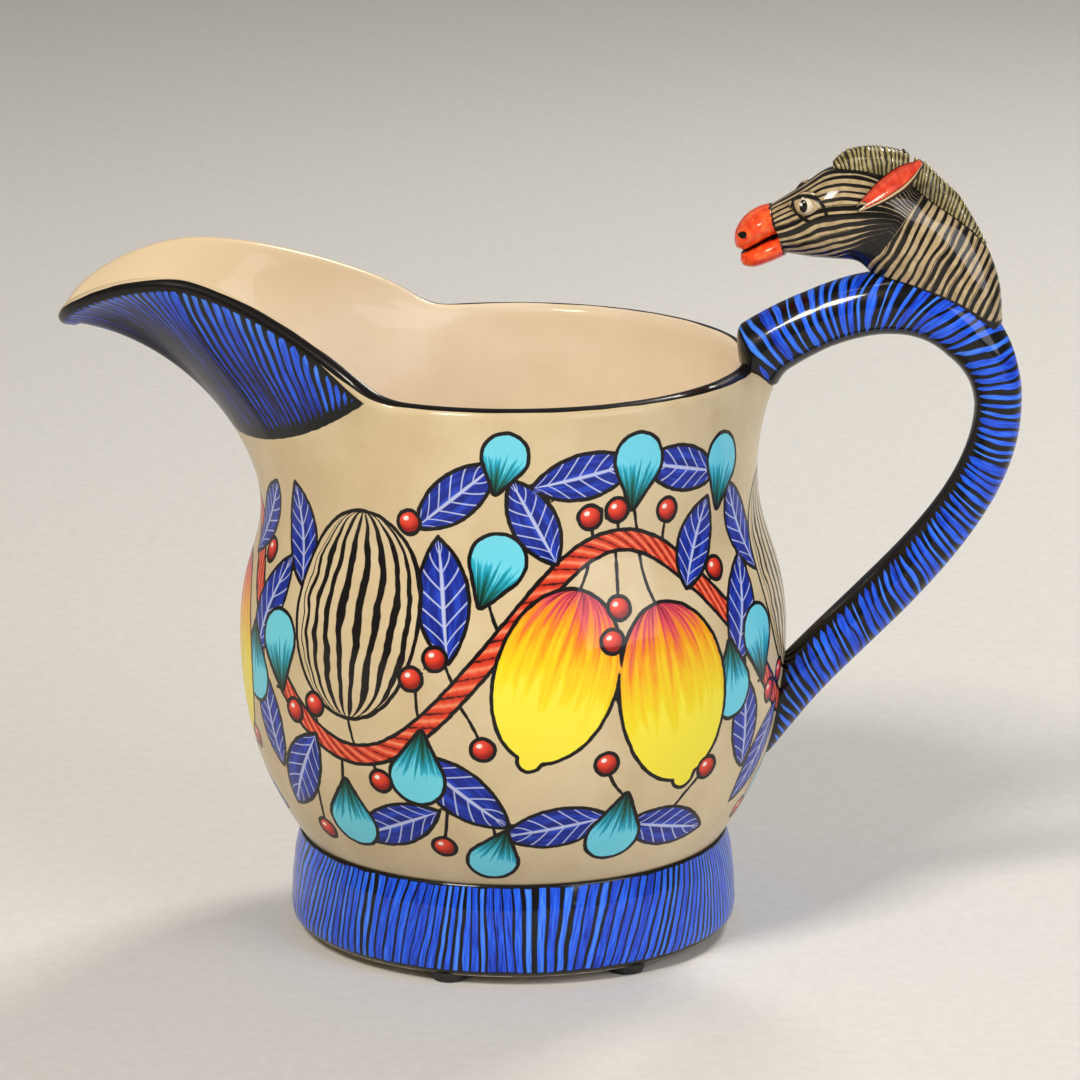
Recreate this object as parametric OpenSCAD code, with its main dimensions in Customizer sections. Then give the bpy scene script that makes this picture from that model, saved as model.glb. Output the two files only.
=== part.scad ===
// Milk jug in glazed earthenware: a thrown vessel on a foot ring, a long
// beak spout, a looped handle with a modelled zebra's head on top of it, and
// rubber pads under the foot. Every clay piece is a solid of its own, luted
// to its neighbour along the seam between them. Sizes are in millimetres.
// +Z is up, the spout points to -X and the handle to +X.

/* [Vessel] */
// Height of the rim above the underside of the foot ring
rim_h = 121; // [110:1:132]
// Outer radius of the rim
rim_r = 50.6; // [48:0.2:54]
// Outer radius of the neck at its narrowest
neck_r = 51; // [48:0.2:54]
// Depth of the neck's narrowest line below the rim
neck_drop = 24; // [20:1:28]
// Outer radius of the belly at its widest
belly_r = 57.3; // [55:0.1:60]
// Height of the belly's widest line above the underside of the foot ring
belly_h = 62; // [58:1:66]
// Outer radius of the vessel where it sits on the foot ring
waist_r = 44.6; // [43:0.1:46]
// Thickness of the vessel's wall
wall = 4.2; // [3.4:0.1:5]
// Thickness of the vessel's floor
floor_t = 5; // [4:0.5:7]
// Reach of the curve between the wall's inside and the floor
floor_round = 14; // [11:0.5:17]
// Thickness of the slip in the luted seams
slip = 0.15; // [0.1:0.01:0.3]

/* [Foot] */
// Height of the foot ring
foot_h = 19.5; // [16:0.5:22]
// Outer radius of the foot ring near its underside
foot_r = 47; // [45.5:0.1:48.5]
// Width of the foot ring's wall
foot_wall = 11; // [10:0.5:14]
// Diameter of a pad
pad_d = 8; // [6:0.5:9]
// Height of a pad
pad_h = 2; // [1.5:0.1:3]

/* [Spout] */
// Reach of the lip's tip from the vessel's axis
spout_reach = 95.2; // [86:0.1:104]
// Rise of the lip's tip above the rim
tip_rise = 5; // [3:0.5:8]
// Rise of the lip's crest above the rim
crest_rise = 18.8; // [15:0.2:23]
// Half width of the spout at the crest
crest_w = 21.4; // [18:0.1:24]
// Distance of the crest from the vessel's axis
crest_x = 67.8; // [62:0.1:73]
// Distance from the axis at which the spout's seam leaves the rim
seat_x = 21; // [18:0.5:24]
// Depth of the seam's lowest point below the rim
seat_drop = 33; // [28:0.5:38]
// Thickness of the spout's lip
lip_t = 3.4; // [2.6:0.1:4]

/* [Handle] */
// Reach of the handle's centre line from the vessel's axis
handle_reach = 100.7; // [94:0.5:108]
// Rise of the handle's centre line above the rim at its top
handle_rise = 12.6; // [10:0.2:16]
// Distance of the handle's top from the vessel's axis
handle_top_x = 79; // [74:0.5:84]
// Drop of the handle's outermost point below its top
handle_out_drop = 21.1; // [18:0.1:24]
// Height of the handle's lower root above the underside of the foot ring
handle_low_h = 48.5; // [44:0.5:54]
// Thickness of the handle along its top
handle_top_d = 13.4; // [12:0.1:15]
// Thickness of the handle at its outermost point
handle_side_d = 9.8; // [8.5:0.1:11.5]
// Thickness of the handle above its lower root
handle_low_d = 11; // [9.5:0.1:12.5]
// Length of the lower root on the belly
root_len = 18; // [15:0.5:21]
// Length of the fairing under the upper root
root_fair = 8; // [6:0.5:11]
// Width of the handle as a share of its thickness
handle_flat = 1.06; // [0.9:0.02:1.2]

/* [Zebra] */
// Length of the modelled head and neck from the muzzle to the back of the neck
head_len = 56; // [53:0.5:59]
// Radius of an eyeball
eye_r = 1.9; // [1.5:0.05:2.2]
// Thickness of an ear
ear_t = 1.2; // [0.9:0.05:1.6]

/* [Hidden] */
// Bearings of the pads round the foot, set by eye as a hand sets them
pad_bearings = [5, 65, 125, 185, 257, 309];

// Points of a cubic curve and of a curve through a list of stations
function bez(a, b, c, d, t) =
    pow(1 - t, 3) * a + 3 * pow(1 - t, 2) * t * b + 3 * (1 - t) * t * t * c + t * t * t * d;
function clampi(i, n) = max(0, min(n - 1, i));
function knot(v, i) = v[clampi(i, len(v))];
function spline(v, s) =
    let (i = min(floor(s), len(v) - 2), t = s - i,
         p = knot(v, i - 1), q = knot(v, i), r = knot(v, i + 1), w = knot(v, i + 2))
    0.5 * (2 * q + (r - p) * t + (2 * p - 5 * q + 4 * r - w) * t * t
           + (3 * q - p - 3 * r + w) * t * t * t);
function unit(v) = v / norm(v);
function turned_over(rings, side) =
    [for (g = rings) [for (i = [len(g) - 1:-1:0]) [g[i][0], side * g[i][1], g[i][2]]]];

// Closed solid through a row of rings with the same number of points; the two
// ends close on a point of their own
module loft(rings, first, last) {
    n = len(rings[0]);
    m = len(rings);
    points = concat([for (g = rings) for (p = g) p], [first, last]);
    sides = [for (k = [0:m - 2]) for (i = [0:n - 1])
        let (j = (i + 1) % n, a = k * n + i, b = k * n + j, c = (k + 1) * n + i, d = (k + 1) * n + j)
        each [[a, c, b], [b, c, d]]];
    start = [for (i = [0:n - 1]) [m * n, i, (i + 1) % n]];
    end = [for (i = [0:n - 1]) [m * n + 1, (m - 1) * n + (i + 1) % n, (m - 1) * n + i]];
    polyhedron(points, concat(sides, start, end));
}

// Middle of a ring
function middle(g) = [for (k = [0:2]) [for (p = g) p[k]] * [for (p = g) 1 / len(g)]];

// Outside of the vessel from the foot ring to the rim, as [radius, height]
neck_h = rim_h - neck_drop;
low_h = belly_h - foot_h;
high_h = neck_h - belly_h;
swell = belly_r - waist_r;
low_part = [for (k = [0:12]) bez([waist_r, foot_h], [waist_r + 0.46 * swell, foot_h + 0.2 * low_h],
    [belly_r, belly_h - 0.52 * low_h], [belly_r, belly_h], k / 12)];
high_part = [for (k = [1:12]) bez([belly_r, belly_h], [belly_r, belly_h + 0.52 * high_h],
    [neck_r, neck_h - 0.42 * high_h], [neck_r, neck_h], k / 12)];
top_part = [for (k = [1:5]) bez([neck_r, neck_h], [neck_r, neck_h + 0.4 * neck_drop],
    [rim_r, rim_h - 0.5 * neck_drop], [rim_r, rim_h - wall / 2], k / 5)];
outside = concat(low_part, high_part, top_part);
radius_at = [for (p = outside) [p[1], p[0]]];
function vessel_r(z) = lookup(z, radius_at);

// Inside of the vessel, from the rim down to the middle of the floor
floor_h = foot_h + floor_t;
bowl_h = floor_h + 0.64 * floor_round;
lip_round = [for (k = [1:7]) [rim_r - wall / 2 + wall / 2 * cos(180 * k / 8),
                              rim_h - wall / 2 + wall / 2 * sin(180 * k / 8)]];
inside = [for (k = [0:22]) let (z = rim_h - wall / 2 - k / 22 * (rim_h - wall / 2 - bowl_h))
    [vessel_r(z) - wall, z]];
bowl_r = vessel_r(bowl_h) - wall;
bowl = [for (k = [1:8]) bez([bowl_r, bowl_h], [bowl_r - 0.19 * floor_round, floor_h + 0.29 * floor_round],
    [bowl_r - 0.43 * floor_round, floor_h], [bowl_r - floor_round, floor_h], k / 8)];

// Seam of the spout: a plane through the rim at seat_x, sinking outwards
seat_slope = seat_drop / (vessel_r(rim_h - seat_drop) - seat_x);
function seat_z(x, lift) = rim_h - seat_slope * (-x - seat_x) + lift;
seat_lift = slip * sqrt(1 + seat_slope * seat_slope);

// Height at which the wall, drawn in by inset, meets the seam at one bearing
function seam_z(bearing, inset, lo, hi, n) =
    let (z = (lo + hi) / 2, x = -(vessel_r(z) - inset) * cos(bearing))
    n == 0 ? z
    : seat_z(x, seat_lift) > z ? seam_z(bearing, inset, z, hi, n - 1)
    : seam_z(bearing, inset, lo, z, n - 1);
function seam_point(bearing, inset) =
    let (z = seam_z(bearing, inset, belly_h, rim_h + 2, 24), r = vessel_r(z) - inset)
    [-r * cos(bearing), r * sin(bearing), z];

// Bearing at which the seam leaves the rim, outside and inside the wall
rim_x = seat_x + wall / 2 / seat_slope;
seam_turn = acos(rim_x / rim_r);
seam_turn_in = acos(rim_x / (rim_r - wall));

// Lip of the spout from its tip to the rim, for the side at +Y, u from 0 to 1
mid_r = rim_r - wall / 2;
lip_end_x = seat_x + 1.4;
lip_tip = [-spout_reach, 0, rim_h + tip_rise];
lip_crest = [-crest_x, crest_w, rim_h + crest_rise];
lip_end = [-lip_end_x, sqrt(mid_r * mid_r - lip_end_x * lip_end_x), rim_h + 0.4];
tip_run = spout_reach - crest_x;
rim_run = crest_x - lip_end_x;
lip_in_a = lip_tip + [0, 0.64 * crest_w, 0.4 * (crest_rise - tip_rise)];
lip_in_b = lip_crest - 0.43 * tip_run * [1, 0.18, 0];
lip_out_a = lip_crest + 0.34 * rim_run * [1, 0.18, 0];
lip_out_b = lip_end + [-0.06 * rim_run, 0.26 * (lip_end[1] - crest_w), 0.23 * crest_rise];
function lip_side(u) = u < 0.5 ? bez(lip_tip, lip_in_a, lip_in_b, lip_crest, 2 * u)
    : bez(lip_crest, lip_out_a, lip_out_b, lip_end, 2 * u - 1);
function lip_at(u) = let (p = lip_side(abs(u))) [p[0], u < 0 ? -p[1] : p[1], p[2]];
function lip_way(u) = unit(lip_at(min(u + 0.01, 1)) - lip_at(max(u - 0.01, -1)));

// One section of the spout's wall, from the seam up the outside, over the lip
// and down the inside
rows = 10;
function lean(u) = 0.1 + 0.86 * pow(cos(90 * u), 2.4);
function spout_section(u) =
    let (way = lip_way(u),
         away = unit(cross([0, 0, 1], way)),
         rise = unit(lean(u) * away + [0, 0, 1.05 - lean(u)]),
         out = unit(cross(rise, way)),
         top = lip_at(u),
         t = lip_t,
         lip_o = top - t / 2 * rise + t / 2 * out,
         lip_i = top - t / 2 * rise - t / 2 * out,
         foot_o = seam_point(u * seam_turn, 0),
         foot_i = seam_point(u * seam_turn_in, wall),
         side = [-cos(u * seam_turn), sin(u * seam_turn), 0],
         up = unit([0, 0, 1] + 0.1 * cos(90 * u) * side),
         span = norm(lip_o - foot_o),
         span_i = norm(lip_i - foot_i))
    concat(
        [for (k = [0:rows]) bez(foot_o, foot_o + 0.29 * span * up, lip_o - 0.4 * span * rise, lip_o,
            k / rows)],
        [for (k = [1:3]) top - t / 2 * rise + t / 2 * cos(45 * k) * out + t / 2 * sin(45 * k) * rise],
        [for (k = [rows:-1:0]) bez(foot_i, foot_i + 0.29 * span_i * up, lip_i - 0.4 * span_i * rise, lip_i,
            k / rows)]);
columns = 44;
spout_rings = [for (k = [0:columns]) spout_section(-1 + 2 * k / columns)];

// Centre line of the handle, s from 0 at the rim to 3 at the belly, as [x, z]
handle_top_h = rim_h + handle_rise;
root_hi = [rim_r, rim_h + 0.1 * handle_top_d];
root_lo = [vessel_r(handle_low_h), handle_low_h];
handle_top = [handle_top_x, handle_top_h];
handle_out = handle_top + [handle_reach - handle_top_x, -handle_out_drop];
rise_span = handle_top - root_hi;
fall_span = handle_out - root_lo;
function handle_at(s) =
    s <= 1 ? bez(root_hi, root_hi + [0.23 * rise_span[0], 0.42 * rise_span[1]],
                 handle_top - [0.35 * rise_span[0], 0], handle_top, s)
    : s <= 2 ? bez(handle_top, [handle_top[0] + 0.6 * (handle_out[0] - handle_top[0]), handle_top[1]],
                   handle_out + [0, 0.52 * handle_out_drop], handle_out, s - 1)
    : bez(handle_out, handle_out - [0, 0.383 * fall_span[1]],
          root_lo + [0.313 * fall_span[0], 0.281 * fall_span[1]], root_lo, s - 2);
function handle_way(s) = unit(handle_at(min(s + 0.01, 3)) - handle_at(max(s - 0.01, 0)));
function handle_d(s) = lookup(s, [[0, handle_top_d], [0.5, handle_top_d - 0.8], [1, handle_top_d],
    [1.5, handle_top_d - 0.4], [1.8, handle_side_d + 0.8], [2, handle_side_d], [2.3, handle_side_d + 0.4],
    [2.6, handle_low_d], [2.85, handle_low_d], [3, root_len * 0.62]]);
function handle_ring(s, extra) =
    let (c = handle_at(s), w = handle_way(s), h = handle_d(s) / 2 + extra,
         fair = root_fair * pow(max(0, (0.4 - s) / 0.3), 4))
    [for (k = [0:23]) let (q = h * cos(15 * k))
        [c[0] - w[1] * q, -handle_flat * h * sin(15 * k),
         c[1] + w[0] * q - fair * pow(max(0, -cos(15 * k)), 1.5)]];

// A point slid along a direction until it lies on the vessel's outside
function seated(p, d, n) =
    let (r = norm([p[0], p[1]]), away = r - vessel_r(p[2]) - slip,
         pull = -(d[0] * p[0] + d[1] * p[1]) / r)
    n == 0 ? p : seated(p + d * away / max(pull, 0.3), d, n - 1);
// The upper root laps over the rim above its height
lap_r = rim_r - 0.62 * wall;
function lapped(p) =
    let (f = min(1, max(0, (p[2] - rim_h + 1.2) / 1.8)), r = norm([p[0], p[1]]), g = lap_r / r)
    f == 0 ? p : f < 1 ? [p[0], p[1], rim_h + slip]
    : [p[0] * g, p[1] * g, p[2]];
hi_way = [-handle_way(0.04)[0], 0, -handle_way(0.04)[1]];
lo_way = [handle_way(2.96)[0], 0, handle_way(2.96)[1]];
handle_steps = [0.15, 0.2, 0.27, 0.36, 0.5, 0.64, 0.78, 0.9, 1, 1.1, 1.2, 1.3, 1.4, 1.5, 1.6, 1.7, 1.8,
    1.9, 2, 2.08, 2.16, 2.24, 2.32, 2.4, 2.48, 2.56, 2.64, 2.72, 2.78, 2.84];
handle_hi = [for (p = handle_ring(0.1, 0)) lapped(seated(p, hi_way, 8))];
handle_lo = [for (p = handle_ring(3, 0)) seated(p + 3 * [1, 0, 1], lo_way, 8)];
handle_rings = concat([handle_hi], [for (s = handle_steps) handle_ring(s, 0)], [handle_lo]);
handle_hi_mid = [rim_r - 0.5, 0, rim_h + slip];
handle_lo_mid = seated([root_lo[0] + 3, 0, root_lo[1] + 3], lo_way, 8);

// Head and neck: stations of [crest x, crest z, throat x, throat z, half width]
// seen from the side, from the handle's top and for a head 56 long; the neck's
// first stations run along the handle
head_size = head_len / 56;
function under(s) = (handle_at(s) - handle_top) / head_size;
function along(s, crest, w) = let (p = under(s)) [p[0] + crest[0], p[1] + crest[1], p[0], p[1], w];
neck_stations = [along(1.54, [5.7, 3.8], 4.6), along(1.35, [9.7, 7.7], 5.6), along(1.13, [13.8, 12.9], 6.3),
    [14, 18, -1.4, 3.4, 6.8], [7.5, 22.4, -5, 6.4, 7.2], [1.5, 26.6, -8, 8.6, 7.9],
    [-6, 29, -12.5, 9, 8.4], [-13.5, 28, -17, 9.3, 8], [-20, 23.6, -20, 9.7, 6.4],
    [-25.6, 20, -22.4, 10, 5.6]];
muzzle_stations = [[-25.8, 20.1, -23.8, 14.3, 5.9], [-28.4, 19.3, -26, 13.3, 6.5],
    [-31, 17.5, -28.6, 11.8, 6.3], [-32.7, 15, -30.7, 10.7, 5.2], [-33.1, 13.2, -32.3, 10.9, 3]];
lip_stations = [[-23.64, 13.8, -22.31, 9.7, 5.2], [-26.3, 12.7, -25.2, 8.3, 5.4],
    [-28.9, 11.2, -28.5, 7.1, 5], [-30.8, 10.1, -30.7, 7.2, 3.6], [-31.5, 9.4, -31.5, 7.9, 1.8]];
mane_stations = [[18.9, 12.8, 16.4, 11, 1.2], [16.5, 17, 13, 12.8, 2.1], [13.3, 22.3, 10, 15, 2.4],
    [9.1, 26.4, 6.5, 17.4, 2.4], [5.6, 29.6, 3.6, 20.4, 2.3], [3.7, 30.4, 2.6, 22.4, 2]];
forelock_stations = [[2.9, 30.6, 1.7, 22.9, 2.2], [0.6, 31.9, 0, 24.4, 3.4],
    [-2.5, 32.5, -2.6, 25, 3.8], [-6.3, 32.6, -6, 25.4, 3.7], [-10.4, 31.6, -9.6, 25.4, 3],
    [-13, 29.4, -12.4, 25.4, 1.5]];
eyelid_stations = [[-13.4, 21.3, -13.4, 20.7, 0.5], [-15.6, 23.3, -15.5, 19.4, 1.6],
    [-17.7, 24.1, -17.6, 18.9, 2], [-19.7, 23.6, -19.6, 19.3, 1.7], [-21.6, 21, -21.5, 20.5, 0.5]];
eye_spot = [-18.1, 6.5, 21.4];
lid_y = 5.9;

// A point of the drawn head moved and sized with the handle's top
function placed_xz(x, z) =
    handle_top + head_size * [x, z];
function head_ring(v, y, count) =
    let (m = placed_xz(v[0], v[1]), f = placed_xz(v[2], v[3]), c = (m + f) / 2, a = (m - f) / 2)
    [for (k = [0:count - 1]) let (q = 360 * k / count)
        [c[0] + a[0] * cos(q), head_size * (y + v[4] * sin(q)), c[1] + a[1] * cos(q)]];
function head_rings(stations, steps, y, count) =
    [for (k = [0:steps]) head_ring(spline(stations, k * (len(stations) - 1) / steps), y, count)];

// Leaf of an ear: a cupped blade from its root to its tip, seen at +Y; the two
// tips, left and right, are set by eye
ear_root = [-5.4, 6.6, 22];
ear_tips = [[5.4, 8, 31], [1.8, 8, 29.9]];
ear_open = unit([-0.25, 0.9, 0.2]);
function ear_point(p) = let (q = placed_xz(p[0], p[2])) [q[0], head_size * p[1], q[1]];
function ear_half(f) = lookup(f, [[0, 1.5], [0.2, 2.3], [0.45, 2.9], [0.7, 2.4], [0.9, 1.2], [1, 0.4]]);
function ear_ring(tip, f) =
    let (way = unit(tip - ear_root), across = unit(cross(ear_open, way)), face = cross(way, across),
         c = ear_root + f * (tip - ear_root), w = ear_half(f), deep = 0.62 * w, t = ear_t / 2 / head_size)
    concat(
        [for (k = [0:6]) let (q = 180 * k / 6)
            ear_point(c + w * cos(q) * across - (deep * sin(q) + t) * face)],
        [for (k = [6:-1:0]) let (q = 180 * k / 6)
            ear_point(c + 0.92 * w * cos(q) * across + (t - deep * sin(q)) * face)]);
function ear_rings(tip) = [for (f = [0, 0.12, 0.24, 0.36, 0.48, 0.6, 0.72, 0.84, 0.94, 1]) ear_ring(tip, f)];

// Frame: the middle of the whole jug's box stands over the origin
far_x = max([for (g = handle_rings) for (p = g) p[0]]);
near_x = min([for (g = spout_rings) for (p = g) p[0]]);
axis_x = -(far_x + near_x) / 2;
module placed() translate([axis_x, 0, pad_h]) children();

// Solids that several pieces share
module turned(profile) rotate_extrude() polygon(profile);
module strip(stations, steps, y, count) {
    g = head_rings(stations, steps, y, count);
    loft(g, middle(g[0]), middle(g[steps]));
}
module head_clay() strip(neck_stations, 26, 0, 20);
module head_part(a, b) {
    g = head_rings(neck_stations, 26, 0, 20);
    loft([for (k = [a:b]) g[k]], middle(g[a]), middle(g[b]));
}
module handle_clay(extra) {
    g = [for (s = [0.78, 0.9, 1, 1.1, 1.2, 1.3, 1.4, 1.5, 1.6, 1.7, 1.8, 1.9, 2]) handle_ring(s, extra)];
    loft(g, middle(g[0]), middle(g[12]));
}
module eyeball(side, extra) {
    p = ear_point(eye_spot);
    translate([p[0], side * p[1], p[2]]) sphere(r = eye_r + extra);
}

// Thrown vessel with its floor, cut away along the seam of the spout
module vessel() color("BurlyWood") placed() difference() {
    turned(concat(outside, lip_round, inside, bowl, [[0, floor_h], [0, foot_h]]));
    translate([-seat_x, 0, rim_h]) rotate([0, -atan(seat_slope), 0])
        translate([-150, -100, 0]) cube([300, 200, 100]);
}

// Foot ring luted under the vessel
module foot_ring() color("RoyalBlue") placed() turned([[foot_r - foot_wall, 1], [foot_r - foot_wall + 1, 0],
    [foot_r - 1.4, 0], [foot_r - 0.3, 1.2], [foot_r, 3.4], [foot_r - 0.25, foot_h * 0.45],
    [foot_r - 0.9, foot_h * 0.75], [waist_r + 0.4, foot_h], [foot_r - foot_wall, foot_h]]);

// Spout, a lofted slab drawn to a beak
module spout() color("RoyalBlue") placed()
    loft(spout_rings, middle(spout_rings[0]), middle(spout_rings[columns]));

// Handle, a pulled coil seated on the rim and on the belly
module handle() color("MediumBlue") placed() loft(handle_rings, handle_hi_mid, handle_lo_mid);

// Head and neck, seated along the top of the handle, with sockets for the eyes
module head_and_neck() color("Tan") placed() difference() {
    head_clay();
    handle_clay(slip);
    eyeball(1, slip);
    eyeball(-1, slip);
}

// Muzzle and lower lip, pressed on to the front of the face
module muzzle() color("OrangeRed") placed() difference() {
    strip(muzzle_stations, 10, 0, 18);
    for (side = [-1, 1]) let (p = ear_point([-32.4, 2.7, 15]))
        translate([p[0], side * p[1], p[2]]) sphere(r = 0.9 * head_size);
}
module lower_lip() color("OrangeRed") placed() strip(lip_stations, 10, 0, 16);

// Strips of clay laid on the crest of the neck and between the ears
module mane() color("DarkKhaki") placed() difference() {
    strip(mane_stations, 15, 0, 14);
    head_part(3, 17);
}
module forelock() color("DarkKhaki") placed() difference() {
    strip(forelock_stations, 15, 0, 14);
    head_part(12, 23);
}

// Ears, cupped blades set on the sides of the head
module ear(side) difference() {
    g = side > 0 ? turned_over(ear_rings(ear_tips[1]), 1)
        : turned_over(turned_over(ear_rings(ear_tips[0]), -1), 1);
    loft(g, middle(g[0]), middle(g[9]));
    head_part(12, 21);
}
module left_ear() color("Tomato") placed() ear(-1);
module right_ear() color("Tomato") placed() ear(1);

// Eyelids round the eyeballs, and the eyeballs in their sockets
module eyelid(side) difference() {
    strip(eyelid_stations, 12, side * lid_y, 12);
    head_part(17, 26);
    eyeball(side, slip);
}
module left_eyelid() color("Tan") placed() eyelid(-1);
module right_eyelid() color("Tan") placed() eyelid(1);
module left_eye() color("Black") placed() eyeball(-1, 0);
module right_eye() color("Black") placed() eyeball(1, 0);

// Rubber pads stuck under the foot ring
module foot_pad(i) color("DimGray") placed() rotate(pad_bearings[i - 1])
    translate([foot_r - foot_wall / 2 + 0.6, 0, -pad_h]) cylinder(h = pad_h, d1 = pad_d - 1.2, d2 = pad_d);

vessel();
foot_ring();
spout();
handle();
head_and_neck();
muzzle();
lower_lip();
mane();
forelock();
left_ear();
right_ear();
left_eyelid();
right_eyelid();
left_eye();
right_eye();
for (i = [1:len(pad_bearings)]) foot_pad(i);
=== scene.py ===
import math

import bpy
import numpy as np
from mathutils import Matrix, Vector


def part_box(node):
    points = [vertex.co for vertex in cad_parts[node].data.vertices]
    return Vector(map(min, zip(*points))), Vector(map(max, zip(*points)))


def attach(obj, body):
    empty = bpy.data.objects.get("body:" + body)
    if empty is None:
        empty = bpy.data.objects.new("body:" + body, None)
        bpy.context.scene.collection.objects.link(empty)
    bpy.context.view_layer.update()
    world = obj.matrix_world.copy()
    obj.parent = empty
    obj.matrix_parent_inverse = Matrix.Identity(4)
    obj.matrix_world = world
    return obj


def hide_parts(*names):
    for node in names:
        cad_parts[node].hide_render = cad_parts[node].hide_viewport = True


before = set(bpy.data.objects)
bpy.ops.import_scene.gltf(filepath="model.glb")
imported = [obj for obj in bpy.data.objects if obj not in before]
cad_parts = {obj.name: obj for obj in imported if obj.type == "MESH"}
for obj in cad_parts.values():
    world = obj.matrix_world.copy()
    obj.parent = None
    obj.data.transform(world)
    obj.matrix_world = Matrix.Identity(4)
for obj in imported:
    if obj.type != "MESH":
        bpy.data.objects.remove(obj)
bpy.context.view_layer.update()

# Vessel and spout. A thrown jug of white earthenware with a beak formed from a
# slab and luted over the cut rim. The seam is smoothed away with slip, so both
# show as one skin, painted in underglaze colours under a clear gloss glaze.
foot_low, foot_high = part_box("foot_ring")
axis_x = 500 * (foot_low[0] + foot_high[0])
base_z = 1000 * foot_low[2]
rim_h, rim_r, neck_r, neck_drop = 121, 50.6, 51, 24
belly_r, belly_h, waist_r = 57.3, 62, 44.6
wall, floor_t, floor_round, foot_h = 4.2, 5, 14, 19.5
spout_reach, tip_rise, crest_rise, crest_w, crest_x = 95.2, 5, 18.8, 21.4, 67.8
seat_x, seat_drop, lip_t = 21, 33, 3.4
lip_ink = 2.6
outline_ink = 0.42


def bez(a, b, c, d, t):
    t = np.asarray(t, float)[..., None]
    a, b, c, d = (np.asarray(p, float) for p in (a, b, c, d))
    return (1 - t)**3 * a + 3 * (1 - t)**2 * t * b + 3 * (1 - t) * t**2 * c + t**3 * d


def unit(v):
    return v / np.linalg.norm(v, axis=-1, keepdims=True)


def ease(x):
    x = np.clip(x, 0, 1)
    return x * x * (3 - 2 * x)


def lengths(line):
    """Length run along a line at each of its points."""
    return np.r_[0, np.cumsum(np.linalg.norm(np.diff(line, axis=0), axis=1))]


def even(lines, count):
    """Each line of points laid out again at even steps."""
    laid = []
    for line in lines:
        run = lengths(line)
        at = np.linspace(0, run[-1], count)
        laid.append(np.stack([np.interp(at, run, line[:, k]) for k in range(3)], 1))
    return np.array(laid)


def skin(grid):
    """Points and faces of a skin closed around its first axis, with both ends filled."""
    around, along = grid.shape[:2]
    here = np.arange(around * along).reshape(around, along)
    beside = np.roll(here, -1, axis=0)
    quads = np.stack([here[:, :-1], beside[:, :-1], beside[:, 1:], here[:, 1:]], -1).reshape(-1, 4)
    points = np.vstack([grid.reshape(-1, 3), grid[:, 0].mean(0), grid[:, -1].mean(0)])
    ends = [(around * along, beside[k, 0], here[k, 0]) for k in range(around)]
    ends += [(around * along + 1, here[k, -1], beside[k, -1]) for k in range(around)]
    corner = points[quads]
    volume = np.sum(corner[:, 0] * np.cross(corner[:, 1], corner[:, 2]))
    volume += np.sum(corner[:, 0] * np.cross(corner[:, 2], corner[:, 3]))
    faces = quads.tolist() + [list(map(int, f)) for f in ends]
    return points, faces if volume > 0 else [f[::-1] for f in faces]


def put(name, data):
    """A new object in the scene."""
    made = bpy.data.objects.new(name, data)
    bpy.context.scene.collection.objects.link(made)
    return made


def make_piece(name, grid, marks, material, slot, *nodes):
    """One fired piece from a grid in mm about the jug's own axis, with its paint marks."""
    points, faces = skin(grid)
    mesh = bpy.data.meshes.new(name)
    mesh.from_pydata(((points + (axis_x, 0, base_z)) / 1000).tolist(), [], faces)
    mesh.polygons.foreach_set("use_smooth", np.ones(len(mesh.polygons), bool))
    for mark, values in marks.items():
        values = np.asarray(values, np.float32)
        flat = values.reshape((-1,) + values.shape[2:])
        flat = np.concatenate([flat, values[0, :1], values[0, -1:]])
        vector = flat.ndim > 1
        layer = mesh.attributes.new(mark, "FLOAT_VECTOR" if vector else "FLOAT", "POINT")
        layer.data.foreach_set("vector" if vector else "value", np.ascontiguousarray(flat).ravel())
    mesh.materials.append(material)
    made = put(name, mesh)
    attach(made, "root")
    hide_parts(*nodes)
    return made


t = np.linspace(0, 1, 40)
neck_h = rim_h - neck_drop
low, high, swell = belly_h - foot_h, neck_h - belly_h, belly_r - waist_r
outline = np.vstack([
    bez((waist_r, foot_h), (waist_r + 0.46 * swell, foot_h + 0.2 * low),
        (belly_r, belly_h - 0.52 * low), (belly_r, belly_h), t),
    bez((belly_r, belly_h), (belly_r, belly_h + 0.52 * high),
        (neck_r, neck_h - 0.42 * high), (neck_r, neck_h), t[1:]),
    bez((neck_r, neck_h), (neck_r, neck_h + 0.4 * neck_drop),
        (rim_r, rim_h - 0.5 * neck_drop), (rim_r, rim_h - wall / 2), t[1:])])
outline_run = lengths(outline)


def vessel_r(z):
    return np.interp(z, outline[:, 1], outline[:, 0])


def ring_point(r, bearing, z):
    """Points round the jug's axis, with the bearing counted from the spout."""
    r, bearing, z = np.broadcast_arrays(r, bearing, z)
    return np.stack([-r * np.cos(bearing), r * np.sin(bearing), z], -1)


# The spout's seam runs in a plane that sinks outwards from the rim
seat_slope = seat_drop / (vessel_r(rim_h - seat_drop) - seat_x)


def seam_point(bearing, inset):
    below, above = np.full_like(bearing, belly_h), np.full_like(bearing, rim_h + 2)
    for step in range(26):
        z = (below + above) / 2
        under = rim_h - seat_slope * ((vessel_r(z) - inset) * np.cos(bearing) - seat_x) > z
        below, above = np.where(under, z, below), np.where(under, above, z)
    return ring_point(vessel_r(z) - inset, bearing, z)


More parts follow.
